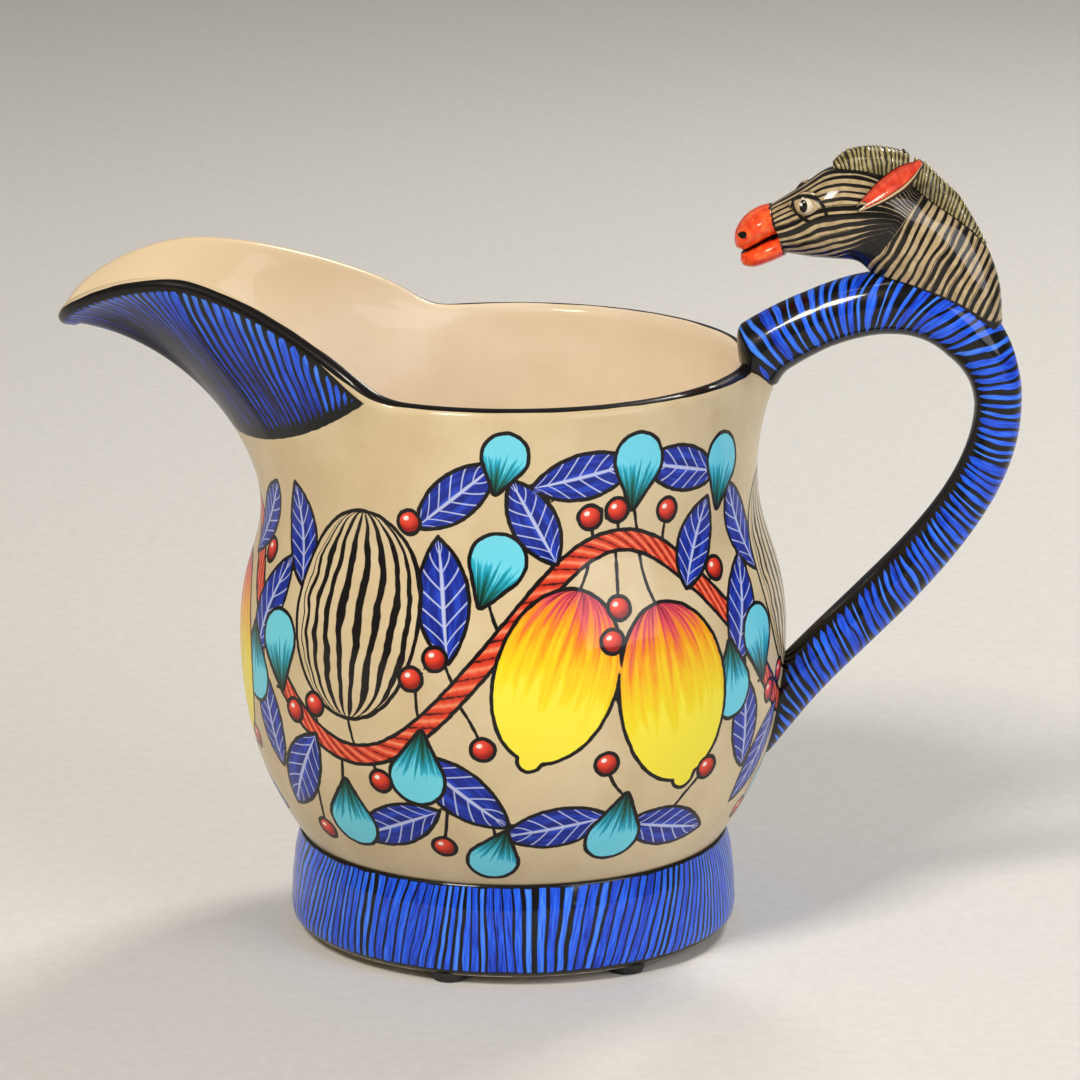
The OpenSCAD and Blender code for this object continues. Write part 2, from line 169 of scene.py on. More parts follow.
rim_x = seat_x + wall / 2 / seat_slope
seam_turn = math.acos(rim_x / rim_r)
seam_turn_in = math.acos(rim_x / (rim_r - wall))
lip_end_x = seat_x + 1.4
tip_run, rim_run = spout_reach - crest_x, crest_x - lip_end_x
lip_tip = np.array([-spout_reach, 0, rim_h + tip_rise])
lip_crest = np.array([-crest_x, crest_w, rim_h + crest_rise])
lip_end = np.array([-lip_end_x, math.sqrt((rim_r - wall / 2)**2 - lip_end_x**2), rim_h])
lip_in_a = lip_tip + (0, 0.64 * crest_w, 0.4 * (crest_rise - tip_rise))
crest_way = np.array([1, 0.18, 0])
lip_in_b = lip_crest - 0.43 * tip_run * crest_way
lip_out_a = lip_crest + 0.34 * rim_run * crest_way
lip_out_b = lip_end + (-0.06 * rim_run, 0.26 * (lip_end[1] - crest_w), 0.23 * crest_rise)


def lip_side(a):
    first = bez(lip_tip, lip_in_a, lip_in_b, lip_crest, np.clip(2 * a, 0, 1))
    second = bez(lip_crest, lip_out_a, lip_out_b, lip_end, np.clip(2 * a - 1, 0, 1))
    return np.where(a[..., None] < 0.5, first, second)


def lip_at(u):
    p, soft = lip_side(np.abs(u)), lip_side(np.clip(np.sqrt(u * u + 0.0016), 0, 1))
    return np.stack([p[..., 0], np.sign(u) * p[..., 1], soft[..., 2] - 0.5 * np.exp(-(u / 0.06)**2)], -1)


# Across the spout, u runs from -1 at one end of its lip over the keel to 1 at the other
across = np.linspace(-1, 1, 181)
plain = np.linspace(seam_turn, 2 * math.pi - seam_turn, 282)[1:-1]
bearing = np.concatenate([across * seam_turn, plain])
spouted = np.arange(len(bearing)) < len(across)
u = np.where(spouted, np.concatenate([across, np.ones(len(plain))]), 1.0)
facing = ring_point(1, bearing, 0)
upright = np.tile([0.0, 0.0, 1.0], (len(bearing), 1))
way = unit(lip_at(np.minimum(u + 0.01, 1)) - lip_at(np.maximum(u - 0.01, -1)))
lean = (0.1 + 0.86 * np.cos(math.pi / 2 * u).clip(0)**2.4)[:, None]
rise = unit(lean * unit(np.cross(upright, way)) + (1.05 - lean) * upright)
out = unit(np.cross(rise, way))
to_rim = ease((np.abs(u) - 0.82) / 0.18)[:, None]
rise = np.where(spouted[:, None], unit(rise + to_rim * (upright - rise)), upright)
out = np.where(spouted[:, None], unit(out + to_rim * (facing - out)), facing)
thick = lip_t + to_rim * (wall - lip_t)
crown = np.where(spouted[:, None], lip_at(u), ring_point(rim_r - wall / 2, bearing, rim_h))
round_mid = crown - thick / 2 * rise
lip_o, lip_i = round_mid + thick / 2 * out, round_mid - thick / 2 * out
swing = np.where(bearing > math.pi, bearing - 2 * math.pi, bearing)
back_in = np.sign(swing) * (seam_turn - seam_turn_in) * (1 - ease((np.abs(swing) - seam_turn) / 0.5))
bearing_in = np.where(spouted, u * seam_turn_in, bearing - back_in)
rim_low = rim_h - wall / 2
foot_o = np.where(spouted[:, None], seam_point(bearing, 0), ring_point(rim_r, bearing, rim_low))
foot_i = np.where(spouted[:, None], seam_point(bearing_in, wall), ring_point(rim_r - wall, bearing_in, rim_low))
up = unit(upright + 0.1 * np.cos(math.pi / 2 * u)[:, None] * facing)
span = np.linalg.norm(lip_o - foot_o, axis=1)[:, None]
span_i = np.linalg.norm(lip_i - foot_i, axis=1)[:, None]
seam_pull, lip_pull, climb = 0.29, 0.4, np.linspace(0, 1, 60)
up_o, up_i = seam_pull * span * up, seam_pull * span_i * up
rise_o, rise_i = lip_pull * span * rise, lip_pull * span_i * rise
beak = bez(*(p[:, None] for p in (foot_o, foot_o + up_o, lip_o - rise_o, lip_o)), climb)
beak_i = bez(*(p[:, None] for p in (lip_i, lip_i - rise_i, foot_i + up_i, foot_i)), climb)
floor_h = foot_h + floor_t
bowl_h = floor_h + 0.64 * floor_round
bowl_r = vessel_r(bowl_h) - wall
z_out = foot_h + (foot_o[:, 2:] - foot_h) * np.linspace(0, 1, 80)
z_in = foot_i[:, 2:] + (bowl_h - foot_i[:, 2:]) * np.linspace(0, 1, 60)
shell = ring_point(vessel_r(z_out), bearing[:, None], z_out)
lining = ring_point(vessel_r(z_in) - wall, bearing_in[:, None], z_in)
bowl = bez((bowl_r, bowl_h), (bowl_r - 0.19 * floor_round, floor_h + 0.29 * floor_round),
           (bowl_r - 0.43 * floor_round, floor_h), (bowl_r - floor_round, floor_h), np.linspace(0, 1, 14))
bowl_rings = ring_point(bowl[:, 0], bearing_in[:, None], bowl[:, 1])
rows_out, rows_lip, rows_in = 146, 7, 52
outer = even(np.concatenate([shell, beak], 1), rows_out)
lip_turn = np.linspace(22.5, 157.5, rows_lip)
turn = np.radians(lip_turn)[None, :, None]
lip = round_mid[:, None] + thick[:, None] / 2 * (np.cos(turn) * out[:, None] + np.sin(turn) * rise[:, None])
inner = even(np.concatenate([beak_i, lining, bowl_rings], 1), rows_in)
disc = np.array([0.25, 0.5, 0.75, 0.96])
under = ring_point(waist_r * disc, bearing[:, None], foot_h)
floor_r = bowl_r - floor_round
floor_rings = ring_point(floor_r * disc[::-1], bearing_in[:, None], floor_h)
body = np.concatenate([under, outer, lip, inner, floor_rings], 1)
first_out = len(disc)
first_lip = first_out + rows_out
first_in = first_lip + rows_lip
row_at = np.arange(body.shape[1])[None]

# Length run up the outside from the foot, and length from the lip's crown
run = np.full(body.shape[:2], -99.0)
outer_len, inner_len, shell_len, lining_start = (
    np.linalg.norm(np.diff(lines, axis=1), axis=2).sum(1) for lines in (outer, inner, shell, beak_i))
run[:, first_out:first_lip] = np.linspace(0, 1, rows_out)[None] * outer_len[:, None]
from_crown = np.full(body.shape[:2], -99.0)
quarter = math.pi / 4 * thick
from_crown[:, first_out:first_lip] = outer_len[:, None] - run[:, first_out:first_lip] + quarter
from_crown[:, first_lip:first_in] = (1 - lip_turn / 90)[None] * quarter
from_crown[:, first_in:first_in + rows_in] = -np.linspace(0, 1, rows_in)[None] * inner_len[:, None] - quarter

# The slip smooths the seam up each side and the lip's ends along the rim
seam_near = np.exp(-((run - shell_len[:, None]) / 8)**2) * ease((from_crown - 3) / 8) * spouted[:, None]
seam_near += np.exp(-((-from_crown - quarter - lining_start[:, None]) / 9)**2) * ease((-from_crown - 3) / 8) \
    * spouted[:, None] * (row_at >= first_in)
end_near = np.exp(-((np.abs(swing) - seam_turn) / 0.09)**2)[:, None] * np.exp(-(from_crown / 12)**2)
keel_near = np.exp(-(u / 0.11)**2)[:, None] * spouted[:, None] * (np.abs(from_crown) < 90) \
    * np.where(np.abs(from_crown) < 1.5 * lip_t, 0.35, 1.0)
melt = np.exp(-((np.abs(swing) - seam_turn) / 0.22)**2)[:, None] * np.exp(-(from_crown / 55)**2)
melt = melt * ease((-from_crown - 2) / 8) * (row_at >= first_in)
for step in range(60):
    rows = body.copy()
    rows[:, 1:-1] = (body[:, 2:] + body[:, :-2]) / 2
    columns = (np.roll(body, 1, 0) + np.roll(body, -1, 0)) / 2
    sides = 0.5 * np.maximum(end_near, keel_near)[..., None] * (columns - body)
    body += 0.5 * seam_near[..., None] * (rows - body) + sides
    body += 0.5 * melt[..., None] * ((np.roll(body, 4, 0) + np.roll(body, -4, 0)) / 2 - body)

# The clay drawn up under the handle's upper root
flare, flare_from, flare_w = 3.4, 98, 8.5
drawn = flare * ((body[..., 2] - flare_from).clip(0, 17) / 16.5)**1.8 * ease((rim_h - body[..., 2]) / 4)
drawn *= np.exp(-(body[..., 1] / flare_w)**2) * (body[..., 0] > 0) * (run >= 0)
body[..., 0] += drawn

# Where the painter's motifs stand: bearing from the front in degrees, height,
# turn, length and half width, for a third of the way round
right = np.degrees(np.arctan2(body[..., 0], -body[..., 1]))
reach = np.hypot(body[..., 0], body[..., 1])
thirds = (5, 125, 245)


def off_spot(spot, height):
    dx = np.radians((right - spot + 180) % 360 - 180) * reach
    return dx, run - np.interp(height, outline[:, 1], outline_run)


def on_spout(spot, height, highest):
    """Whether a motif would run up onto the spout."""
    return height > highest and -150 < (spot + 180) % 360 - 180 < -24


def lay(motifs, shape):
    """Distance outside the nearest motif, share along it and share across it."""
    best, along, across = (np.full(run.shape, v) for v in (9.0, 0.0, 0.0))
    for third in thirds:
        for spot, height, angle, length, half in motifs:
            if on_spout(spot + third, height, 94):
                continue
            dx, dy = off_spot(spot + third, height)
            near = np.hypot(dx, dy) < length / 2 + 9
            a = math.radians(angle)
            x = (dx * math.cos(a) + dy * math.sin(a))[near]
            y = (dy * math.cos(a) - dx * math.sin(a))[near]
            d, side = shape(x, y, length / 2, half)
            better = d < best[near]
            for field, value in ((best, d), (along, np.clip(x / length + 0.5, 0, 1)),
                                 (across, np.clip(y / np.maximum(side, 0.4), -1, 1))):
                field[near] = np.where(better, value, field[near])
    return np.stack([best, along, across], -1)


def oval(x, y, a, b):
    k, j = np.hypot(x / a, y / b) + 1e-6, np.hypot(x / a**2, y / b**2) + 1e-6
    return k * (k - 1) / j, b * np.sqrt(np.clip(1 - (x / a)**2, 0, 1))


def lemon_form(x, y, a, b):
    fruit, side = oval(x + 0.05 * a, y, 0.95 * a, b)
    return np.minimum(fruit, oval(x - 0.88 * a, y, 0.13 * a, 0.2 * b)[0]), side


def leaf_form(x, y, a, b):
    r = (a * a + b * b) / (2 * b)
    return np.hypot(x, np.abs(y) + r - b) - r, np.sqrt(np.clip(r * r - x * x, 0, None)) - r + b


def fig_form(x, y, a, b):
    tip = 0.12 * b
    from_fruit, h = a - b - x, 2 * a - b - tip
    k = (b - tip) / h
    j = math.sqrt(1 - k * k)
    where = j * from_fruit - k * np.abs(y)
    d = np.where(where < 0, np.hypot(y, from_fruit) - b,
                 np.where(where > j * h, np.hypot(y, from_fruit - h) - tip, j * np.abs(y) + k * from_fruit - b))
    return d, np.interp(x, [-a, a - b, a], [tip, b, 0.4 * b])


def lay_stems(stems):
    """Distance from the nearest stem, a bowed line between two places, and the offset to its left."""
    best, offset = np.full(run.shape, 9.0), np.full(run.shape, 9.0)
    for third in thirds:
        for spot, height, spot_to, height_to, bow in stems:
            if on_spout(spot + third, height, 88):
                continue
            f = np.linspace(0, 1, 25)
            line_a = spot + (spot_to - spot) * f + bow * (height_to - height) * f * (1 - f)
            line_z = height + (height_to - height) * f - bow * (spot_to - spot) * f * (1 - f)
            mid_a, mid_z = (spot + spot_to) / 2, (height + height_to) / 2
            dx, dy = off_spot(mid_a + third, mid_z)
            near = np.hypot(dx, dy) < np.hypot(spot_to - spot, height_to - height) + 6
            px = dx[near][:, None] - np.radians(line_a - mid_a)[None] * reach[near][:, None]
            py = dy[near][:, None] - (line_z - mid_z)[None]
            gaps = np.hypot(px, py)
            pick = gaps.argmin(1)
            row = np.arange(len(pick))
            go = unit(np.stack([np.gradient(line_a), np.gradient(line_z)], 1))[pick]
            left = go[:, 0] * py[row, pick] - go[:, 1] * px[row, pick]
            better = gaps.min(1) < best[near]
            best[near] = np.where(better, gaps.min(1), best[near])
            offset[near] = np.where(better, left, offset[near])
    return np.stack([best, offset, 0 * best], -1)


vine_h, vine_swing, vine_half, vine_twist, vine_r = 71, 23, 2.1, 3.4, 57


def vine_z(spot):
    lift = np.interp(vine_h, outline[:, 1], outline_run) + vine_swing * math.sin(math.radians(3 * (spot + 5)))
    return np.interp(lift, outline_run, outline[:, 1])


lemon_marks = lay([(9, 66, 252, 39, 12.8), (36, 60, 280, 41, 13.4)], lemon_form)
gourd_marks = lay([(-36, 77, 90, 43, 15.5)], oval)
leaf_marks = lay([(5, 98, 118, 20, 4.6), (17, 107, 10, 23, 4.6), (43, 106, 166, 22, 4.6), (46, 90, 62, 20, 4.6),
                  (-15, 82, 98, 26, 5.4), (-13, 103, 40, 22, 4.6), (57, 74, 70, 25, 5), (58, 50, 100, 21, 4.8),
                  (-11, 42, 320, 25, 5.2), (-27, 33, 205, 23, 4.8), (-52, 41, 235, 24, 5), (10, 34, 190, 23, 4.8),
                  (38, 31, 345, 23, 4.8), (-56, 90, 110, 22, 4.6)], leaf_form)
fig_marks = lay([(30, 107, 80, 16, 5.6), (-4, 88, 70, 16, 5.8), (57, 103, 75, 16, 5.6), (52, 61, 275, 17, 6),
                 (-39, 34, 265, 17, 6), (-20, 47, 262, 17, 6), (24, 33, 262, 17, 6), (-4, 27.5, 250, 14, 5.2),
                 (-57, 66, 100, 17, 6), (-2, 110, 75, 13, 4.8)], fig_form)
berry_d = 5
berry_spots = ((18, 98.5), (24.6, 99.5), (-21, 66), (-16, 70.5), (23.4, 80), (21.2, 73.6), (-45, 57),
               (-51.4, 54.4), (20, 48), (51, 84), (-24, 97), (46, 43), (-29, 43), (38, 98), (-6, 52), (-50, 28),
               (-16, 29))
berry_marks = lay([(spot, height, 0, berry_d, berry_d / 2) for spot, height in berry_spots], oval)
# Stems that hang on the vine: bearing and height of the fruit, bearing on the vine, bow
hung = ((15, 84, 18, 0.2), (32, 80, 30, -0.2), (-36, 57, -34, 0.1), (-14, 70, -11, 0.1), (-5, 82, -2, 0.1),
        (-20, 66, -19, 0.1), (-6, 52, -12, 0.2), (52, 69, 51, 0), (57, 60, 56, 0), (-39, 42, -38, 0),
        (-29, 43, -31, 0), (-45, 57, -43, 0.2), (-57, 58, -54, 0.1), (9, 90, 10, 0), (18, 98.5, 19, 0),
        (29, 99, 30, 0), (42, 82, 41, 0.1), (38, 98, 36, 0.1), (23, 79, 24, 0.1), (24.6, 99, 25, 0),
        (51, 84, 47, 0.2))
loose = [(20, 48, 23.8, 41, 0.3), (46, 43, 37, 33, 0.2), (-16, 29, -14, 40, 0.1), (-50, 28, -47, 46, 0.1),
         (-4, 33, -5, 39, 0)]
stem_marks = lay_stems([(spot, height, to, vine_z(to), bow) for spot, height, to, bow in hung] + loose)
vine_angle = np.radians(3 * right)
vine_mid = np.interp(vine_h, outline[:, 1], outline_run) + vine_swing * np.sin(vine_angle)
vine_slope = vine_swing * np.cos(vine_angle) * 3 / reach.clip(20)
vine_off = (run - vine_mid) / np.sqrt(1 + vine_slope**2)
vine_along = np.radians((right - 90) % 360) * vine_r
vine_marks = np.stack([np.where(run > 0, np.abs(vine_off) - vine_half, 9), vine_along, vine_off / vine_half], -1)

# The blue field of the spout ends below at a border that falls towards the keel
border_low, border_rise, border_x = 105.6, 15.4, -57
border_z = border_low + border_rise * np.clip((body[..., 0] - border_x) / 31.6, 0, 1)**1.7
field_top = 0.2 + 3.6 * ease((np.abs(u[:, None]) - 0.68) / 0.22)
blue_in = np.minimum((body[..., 2] - border_z) * 0.9, 1.5 * (from_crown - field_top))
blue_in = np.where(spouted[:, None] & (body[..., 0] < -20), blue_in.clip(-9, 60), -9)
spout_strokes, keel_stroke = 44, 60.5
beak_number = np.where(spouted[:, None], u[:, None] * spout_strokes, 0) + 0 * run + keel_stroke
beak_marks = np.stack([beak_number, from_crown.clip(-9, 99), blue_in], -1)
# Painted shading of the spout's strokes: painted shade darkens them away from the lip and towards the keel, and
# painted light makes them paler just under the lip
deep = 0.85 * ease((from_crown - 3) / 22) - 0.4 * (1 - ease((from_crown - 2.4) / 5))
deep += 0.7 * (1 - ease((np.abs(u[:, None]) - 0.12) / 0.42))
inside = (row_at >= first_lip + rows_lip // 2) + 0 * run
at_tip = np.where(from_crown > 0, 1 + 1.3 * np.exp(-(u / 0.22)**2)[:, None] * spouted[:, None], 1)
at_rim = ease((np.abs(swing) - seam_turn + 0.15) / 0.35) * (1 - ease((np.abs(swing) - 2.1) / 0.8))
at_tip = at_tip + 0.6 * at_rim[:, None] * (from_crown > 0)
wall_marks = np.stack([(from_crown * at_tip).clip(-20, 60), inside, body[..., 2]], -1)


def hue(code):
    """A written sRGB colour as the linear colour that the shader takes."""
    part = [int(code[k:k + 2], 16) / 255 for k in (1, 3, 5)]
    return tuple(c / 12.92 if c <= 0.04045 else ((c + 0.055) / 1.055)**2.4 for c in part) + (1.0,)


def node(tree, kind, sockets={}, ramp=(), **settings):
    """Adds a shader node with its settings, values and links, and gives its outputs."""
    made = tree.nodes.new("ShaderNode" + kind)
    for key, value in settings.items():
        setattr(made, key, value)
    for key, value in sockets.items():
        if isinstance(value, bpy.types.NodeSocket):
            tree.links.new(value, made.inputs[key])
        else:
            made.inputs[key].default_value = value
    for k, (place, code) in enumerate(ramp):
        stop = made.color_ramp.elements[k] if k < 2 else made.color_ramp.elements.new(place)
        stop.position, stop.color = place, hue(code)
    return made.outputs


def fresh(name):
    """An empty material under the real one's name, and its node tree."""
    made = bpy.data.materials.new(name)
    made.use_nodes = True
    made.node_tree.nodes.clear()
    return made, made.node_tree


def marks_of(tree, name):
    """The marks that a piece carries under a name, whole and in their three parts."""
    mark = node(tree, "Attribute", attribute_name=name)[1]
    return mark, node(tree, "SeparateXYZ", {0: mark})


def brushed(tree, marks, stretch, detail, roughness=0.5):
    """Traces of the brush, drawn out along the marks by the stretch of each part."""
    along = node(tree, "VectorMath", {0: marks, 1: stretch}, operation="MULTIPLY")
    return node(tree, "TexNoise", {"Vector": along[0], "Scale": 1.0, "Detail": detail, "Roughness": roughness})


def blue_strokes(tree, marks, share, wobble, deep=0.0):
    """Brush strokes of cobalt laid side by side on black; marks hold the stroke's
    number, the length along it in mm and how far the strokes reach there."""
    part = node(tree, "SeparateXYZ", {0: marks})
    sway = brushed(tree, marks, (0.5, 0.09, 0), 1.0)
    sway = node(tree, "MapRange", {0: sway[0], 1: 0.2, 2: 0.8, 3: -wobble, 4: wobble})
    place = node(tree, "Math", {0: part[0], 1: sway[0]}, operation="ADD")
    number = node(tree, "Math", {0: place[0]}, operation="FLOOR")
    chance = node(tree, "TexWhiteNoise", {"W": number[0]}, noise_dimensions="1D")
    from_gap = node(tree, "Math", {0: place[0], 1: 0.5}, operation="PINGPONG")
    dry = brushed(tree, marks, (5.0, 0.16, 0), 3.0, 0.6)
    gap = node(tree, "MapRange", {0: chance[0], 1: 0.0, 2: 1.0, 3: 0.16 * (1 - share), 4: 0.9 * (1 - share)})
    gap = node(tree, "Math", {0: dry[0], 1: 0.22, 2: gap[0]}, operation="MULTIPLY_ADD")
    gap = node(tree, "Math", {0: gap[0], 1: 0.11}, operation="SUBTRACT")
    gap = node(tree, "Mix", {0: part[2], 2: 0.56, 3: gap[0]})
    edge = node(tree, "Math", {0: from_gap[0], 1: gap[0]}, operation="SUBTRACT")
    laid = node(tree, "MapRange", {0: edge[0], 1: -0.02, 2: 0.05})
    tone = node(tree, "Math", {0: chance[0], 1: 0.35, 2: dry[0]}, operation="MULTIPLY_ADD")
    # Painted shade: the shading that the strokes are given darkens their blue
    tone = node(tree, "Math", {0: deep, 1: -0.36, 2: tone[0]}, operation="MULTIPLY_ADD")
    blue = node(tree, "ValToRGB", {0: tone[0]}, ramp=((0.26, "#081038"), (0.95, "#4F94FF"), (0.42, "#1430AE"),
                                                       (0.64, "#2260F0")))
    return node(tree, "Mix", {0: laid[0], 6: hue("#0B0908"), 7: blue[0]}, data_type="RGBA")[2]


# Painted earthenware under a clear glaze: the colour lies under glass, so it
# looks wet and deep, with small sharp highlights on a surface that waves every 7 mm.
# The scale of each pattern is one over its size in metres
def glazed(tree, colour, wave=0.12, coat=0.55):
    where = node(tree, "TexCoord")
    wavy = node(tree, "TexNoise", {"Vector": where["Object"], "Scale": 1 / 0.007, "Detail": 2.0})
    bump = node(tree, "Bump", {"Strength": wave, "Distance": 0.0006, "Height": wavy[0]})
    gloss = node(tree, "BsdfPrincipled", {
        "Base Color": colour, "Roughness": 0.35, "IOR": 1.5, "Specular IOR Level": 0.12, "Normal": bump[0],
        "Coat Weight": coat, "Coat Roughness": 0.05, "Coat IOR": 1.5, "Coat Normal": bump[0]})
    node(tree, "OutputMaterial", {"Surface": gloss[0]})


line_black = hue("#14100E")
# White earthenware, brush painted: a warm cream clouded in patches of 16 mm, paler
# inside but darker and browner towards the lip there as painted shade, with lines that tremble a little
clay, tree = fresh("earthenware_painted_and_clear_glazed")
where = node(tree, "TexCoord")
cloud = node(tree, "TexNoise", {"Vector": where["Object"], "Scale": 1 / 0.016, "Detail": 4.0, "Roughness": 0.6})
outside = node(tree, "ValToRGB", {0: cloud[0]}, ramp=((0.3, "#C9B38A"), (0.7, "#D8C59F")))
lining_tone = node(tree, "ValToRGB", {0: cloud[0]}, ramp=((0.3, "#E8D6BA"), (0.7, "#F0E0C8")))
wall_part = marks_of(tree, "wall")[1]
# Painted shade: the lining darkens towards the lip, from 112 mm up to 132 mm
painted_shade_at_lip = node(tree, "MapRange", {0: wall_part[2], 1: 112.0, 2: 132.0, 3: 0.0, 4: 0.85})
lining_tone = node(tree, "Mix", {0: painted_shade_at_lip[0], 6: lining_tone[0], 7: hue("#D4BC94")}, data_type="RGBA")[2]
colour = node(tree, "Mix", {0: wall_part[1], 6: outside[0], 7: lining_tone}, data_type="RGBA")[2]
shaky = node(tree, "TexNoise", {"Vector": where["Object"], "Scale": 1 / 0.0022, "Detail": 2.0})
shake = node(tree, "MapRange", {0: shaky[0], 1: 0.25, 2: 0.75, 3: -0.12, 4: 0.12})


def motif(tree, below, mark, fill):
    """Lays one kind of motif with its black outline over the colours below."""
    d = node(tree, "Math", {0: mark, 1: shake[0]}, operation="ADD")
    line = node(tree, "MapRange", {0: d[0], 1: outline_ink + 0.05, 2: outline_ink - 0.05})
    inner = node(tree, "MapRange", {0: d[0], 1: 0.05 - outline_ink, 2: -0.05 - outline_ink})
    inked = node(tree, "Mix", {0: line[0], 6: below, 7: line_black}, data_type="RGBA")
    return node(tree, "Mix", {0: inner[0], 6: inked[2], 7: fill}, data_type="RGBA")[2]


# Stems: fine ink lines from the vine to its fruit
part = marks_of(tree, "stem")[1]
aside = node(tree, "Math", {0: part[1]}, operation="ABSOLUTE")
aside = node(tree, "Math", {0: aside[0], 1: shake[0]}, operation="ADD")
line = node(tree, "MapRange", {0: aside[0], 1: 0.42, 2: 0.32})
close = node(tree, "MapRange", {0: part[0], 1: 1.2, 2: 1.0})
line = node(tree, "Math", {0: line[0], 1: close[0]}, operation="MULTIPLY")
colour = node(tree, "Mix", {0: line[0], 6: colour, 7: line_black}, data_type="RGBA")[2]

# Vine: a twisted red cord with dark turns
part = marks_of(tree, "vine")[1]
twist = node(tree, "Math", {0: part[1], 1: 1 / vine_twist, 2: part[2]}, operation="MULTIPLY_ADD")
twist = node(tree, "Math", {0: twist[0], 1: 0.5}, operation="PINGPONG")
streak = node(tree, "TexNoise", {"Vector": where["Object"], "Scale": 1 / 0.0012, "Detail": 2.0})
turns = node(tree, "Math", {0: streak[0], 1: 0.25, 2: twist[0]}, operation="MULTIPLY_ADD")
cord = node(tree, "ValToRGB", {0: turns[0]}, ramp=((0.14, "#2A120C"), (0.62, "#EE8A62"), (0.22, "#C5331E"),
                                                   (0.44, "#E04A2C")))
colour = motif(tree, colour, part[0], cord[0])

# Leaves: cobalt with pale scratched veins
mark, part = marks_of(tree, "leaf")
off_rib = node(tree, "Math", {0: part[2]}, operation="ABSOLUTE")
brush = brushed(tree, mark, (0.0, 3.0, 5.0), 3.0)
leaf_blue = node(tree, "ValToRGB", {0: brush[0]}, ramp=((0.3, "#111C68"), (0.72, "#2A4CC8"), (0.52, "#1A2E96")))
vein = node(tree, "Math", {0: off_rib[0], 1: -0.2, 2: part[1]}, operation="MULTIPLY_ADD")
vein = node(tree, "Math", {0: vein[0], 1: 7.0}, operation="MULTIPLY")
vein = node(tree, "Math", {0: vein[0], 1: 0.5}, operation="PINGPONG")
vein = node(tree, "MapRange", {0: vein[0], 1: 0.045, 2: 0.085, 3: 0.8, 4: 0.0})
rib = node(tree, "MapRange", {0: off_rib[0], 1: 0.05, 2: 0.1, 3: 0.9, 4: 0.0})
vein = node(tree, "Math", {0: vein[0], 1: rib[0]}, operation="MAXIMUM")
leaf_fill = node(tree, "Mix", {0: vein[0], 6: leaf_blue[0], 7: hue("#BFC8EC")}, data_type="RGBA")
colour = motif(tree, colour, part[0], leaf_fill[2])

# Figs: turquoise with a dark green shoulder in short strokes
mark, part = marks_of(tree, "fig")
brush = brushed(tree, mark, (0.0, 1.6, 7.0), 3.0)
tone = node(tree, "Math", {0: brush[0], 1: 0.9, 2: part[1]}, operation="MULTIPLY_ADD")
fig_fill = node(tree, "ValToRGB", {0: tone[0]}, ramp=((0.5, "#08241F"), (1.35, "#6FD2E4"), (0.66, "#0E5A4A"),
                                                      (0.86, "#1E93A8"), (0.98, "#35B5D0")))
colour = motif(tree, colour, part[0], fig_fill[0])

# Gourds: cream with black stripes from stalk to tip
mark, part = marks_of(tree, "gourd")
brush = brushed(tree, mark, (0.0, 5.0, 2.5), 2.0)
bend = node(tree, "Math", {0: brush[0], 1: 0.22, 2: part[2]}, operation="MULTIPLY_ADD")
bend = node(tree, "Math", {0: bend[0]}, operation="ARCSINE")
bend = node(tree, "Math", {0: bend[0], 1: 3.6}, operation="MULTIPLY")
bend = node(tree, "Math", {0: bend[0], 1: 0.5}, operation="PINGPONG")
stripe = node(tree, "MapRange", {0: bend[0], 1: 0.2, 2: 0.24, 3: 1.0, 4: 0.0})
gourd_fill = node(tree, "Mix", {0: stripe[0], 6: outside[0], 7: hue("#17120F")}, data_type="RGBA")
colour = motif(tree, colour, part[0], gourd_fill[2])

# Lemons: yellow, brushed with orange and red from the stalk
mark, part = marks_of(tree, "lemon")
brush = brushed(tree, mark, (0.0, 2.2, 9.0), 4.0, 0.6)
tone = node(tree, "Math", {0: brush[0], 1: 0.8, 2: part[1]}, operation="MULTIPLY_ADD")
lemon_fill = node(tree, "ValToRGB", {0: tone[0]}, ramp=((0.36, "#5A1A10"), (1.2, "#F8E640"), (0.46, "#D8405A"),
                                                        (0.6, "#F08A1E"), (0.78, "#F4C41E"), (0.95, "#F4DC20")))
colour = motif(tree, colour, part[0], lemon_fill[0])

# Berries: red with a white spot of light
mark, part = marks_of(tree, "berry")
aside = node(tree, "VectorMath", {0: mark, 1: (0.0, 0.36, 0.34)}, operation="SUBTRACT")
aside = node(tree, "VectorMath", {0: aside[0], 1: (0.0, 1.7, 1.0)}, operation="MULTIPLY")
aside = node(tree, "VectorMath", {0: aside[0]}, operation="LENGTH")
berry_fill = node(tree, "ValToRGB", {0: aside[1]}, ramp=((0.16, "#F6E6DC"), (1.0, "#8E1A12"), (0.24, "#E8503A"),
                                                         (0.6, "#D83A24")))
colour = motif(tree, colour, part[0], berry_fill[0])

# The spout's blue field with its black border and painted shading, and the black line round the lip
part = marks_of(tree, "beak")[1]
scallop = node(tree, "Math", {0: part[0], 1: 0.5}, operation="PINGPONG")
scallop = node(tree, "Math", {0: scallop[0], 1: 3.2, 2: part[2]}, operation="MULTIPLY_ADD")
reached = node(tree, "MapRange", {0: scallop[0], 1: 3.0, 2: 4.4})
strokes_at = node(tree, "CombineXYZ", {0: part[0], 1: part[1], 2: reached[0]})
blue = blue_strokes(tree, strokes_at[0], 0.62, 0.3, node(tree, "Attribute", attribute_name="deep")[2])
field = node(tree, "Math", {0: part[2], 1: shake[0]}, operation="ADD")
field = node(tree, "MapRange", {0: field[0], 1: -0.05, 2: 0.05})
colour = node(tree, "Mix", {0: field[0], 6: colour, 7: blue}, data_type="RGBA")[2]
slow = node(tree, "TexNoise", {"Vector": where["Object"], "Scale": 1 / 0.009, "Detail": 1.0})
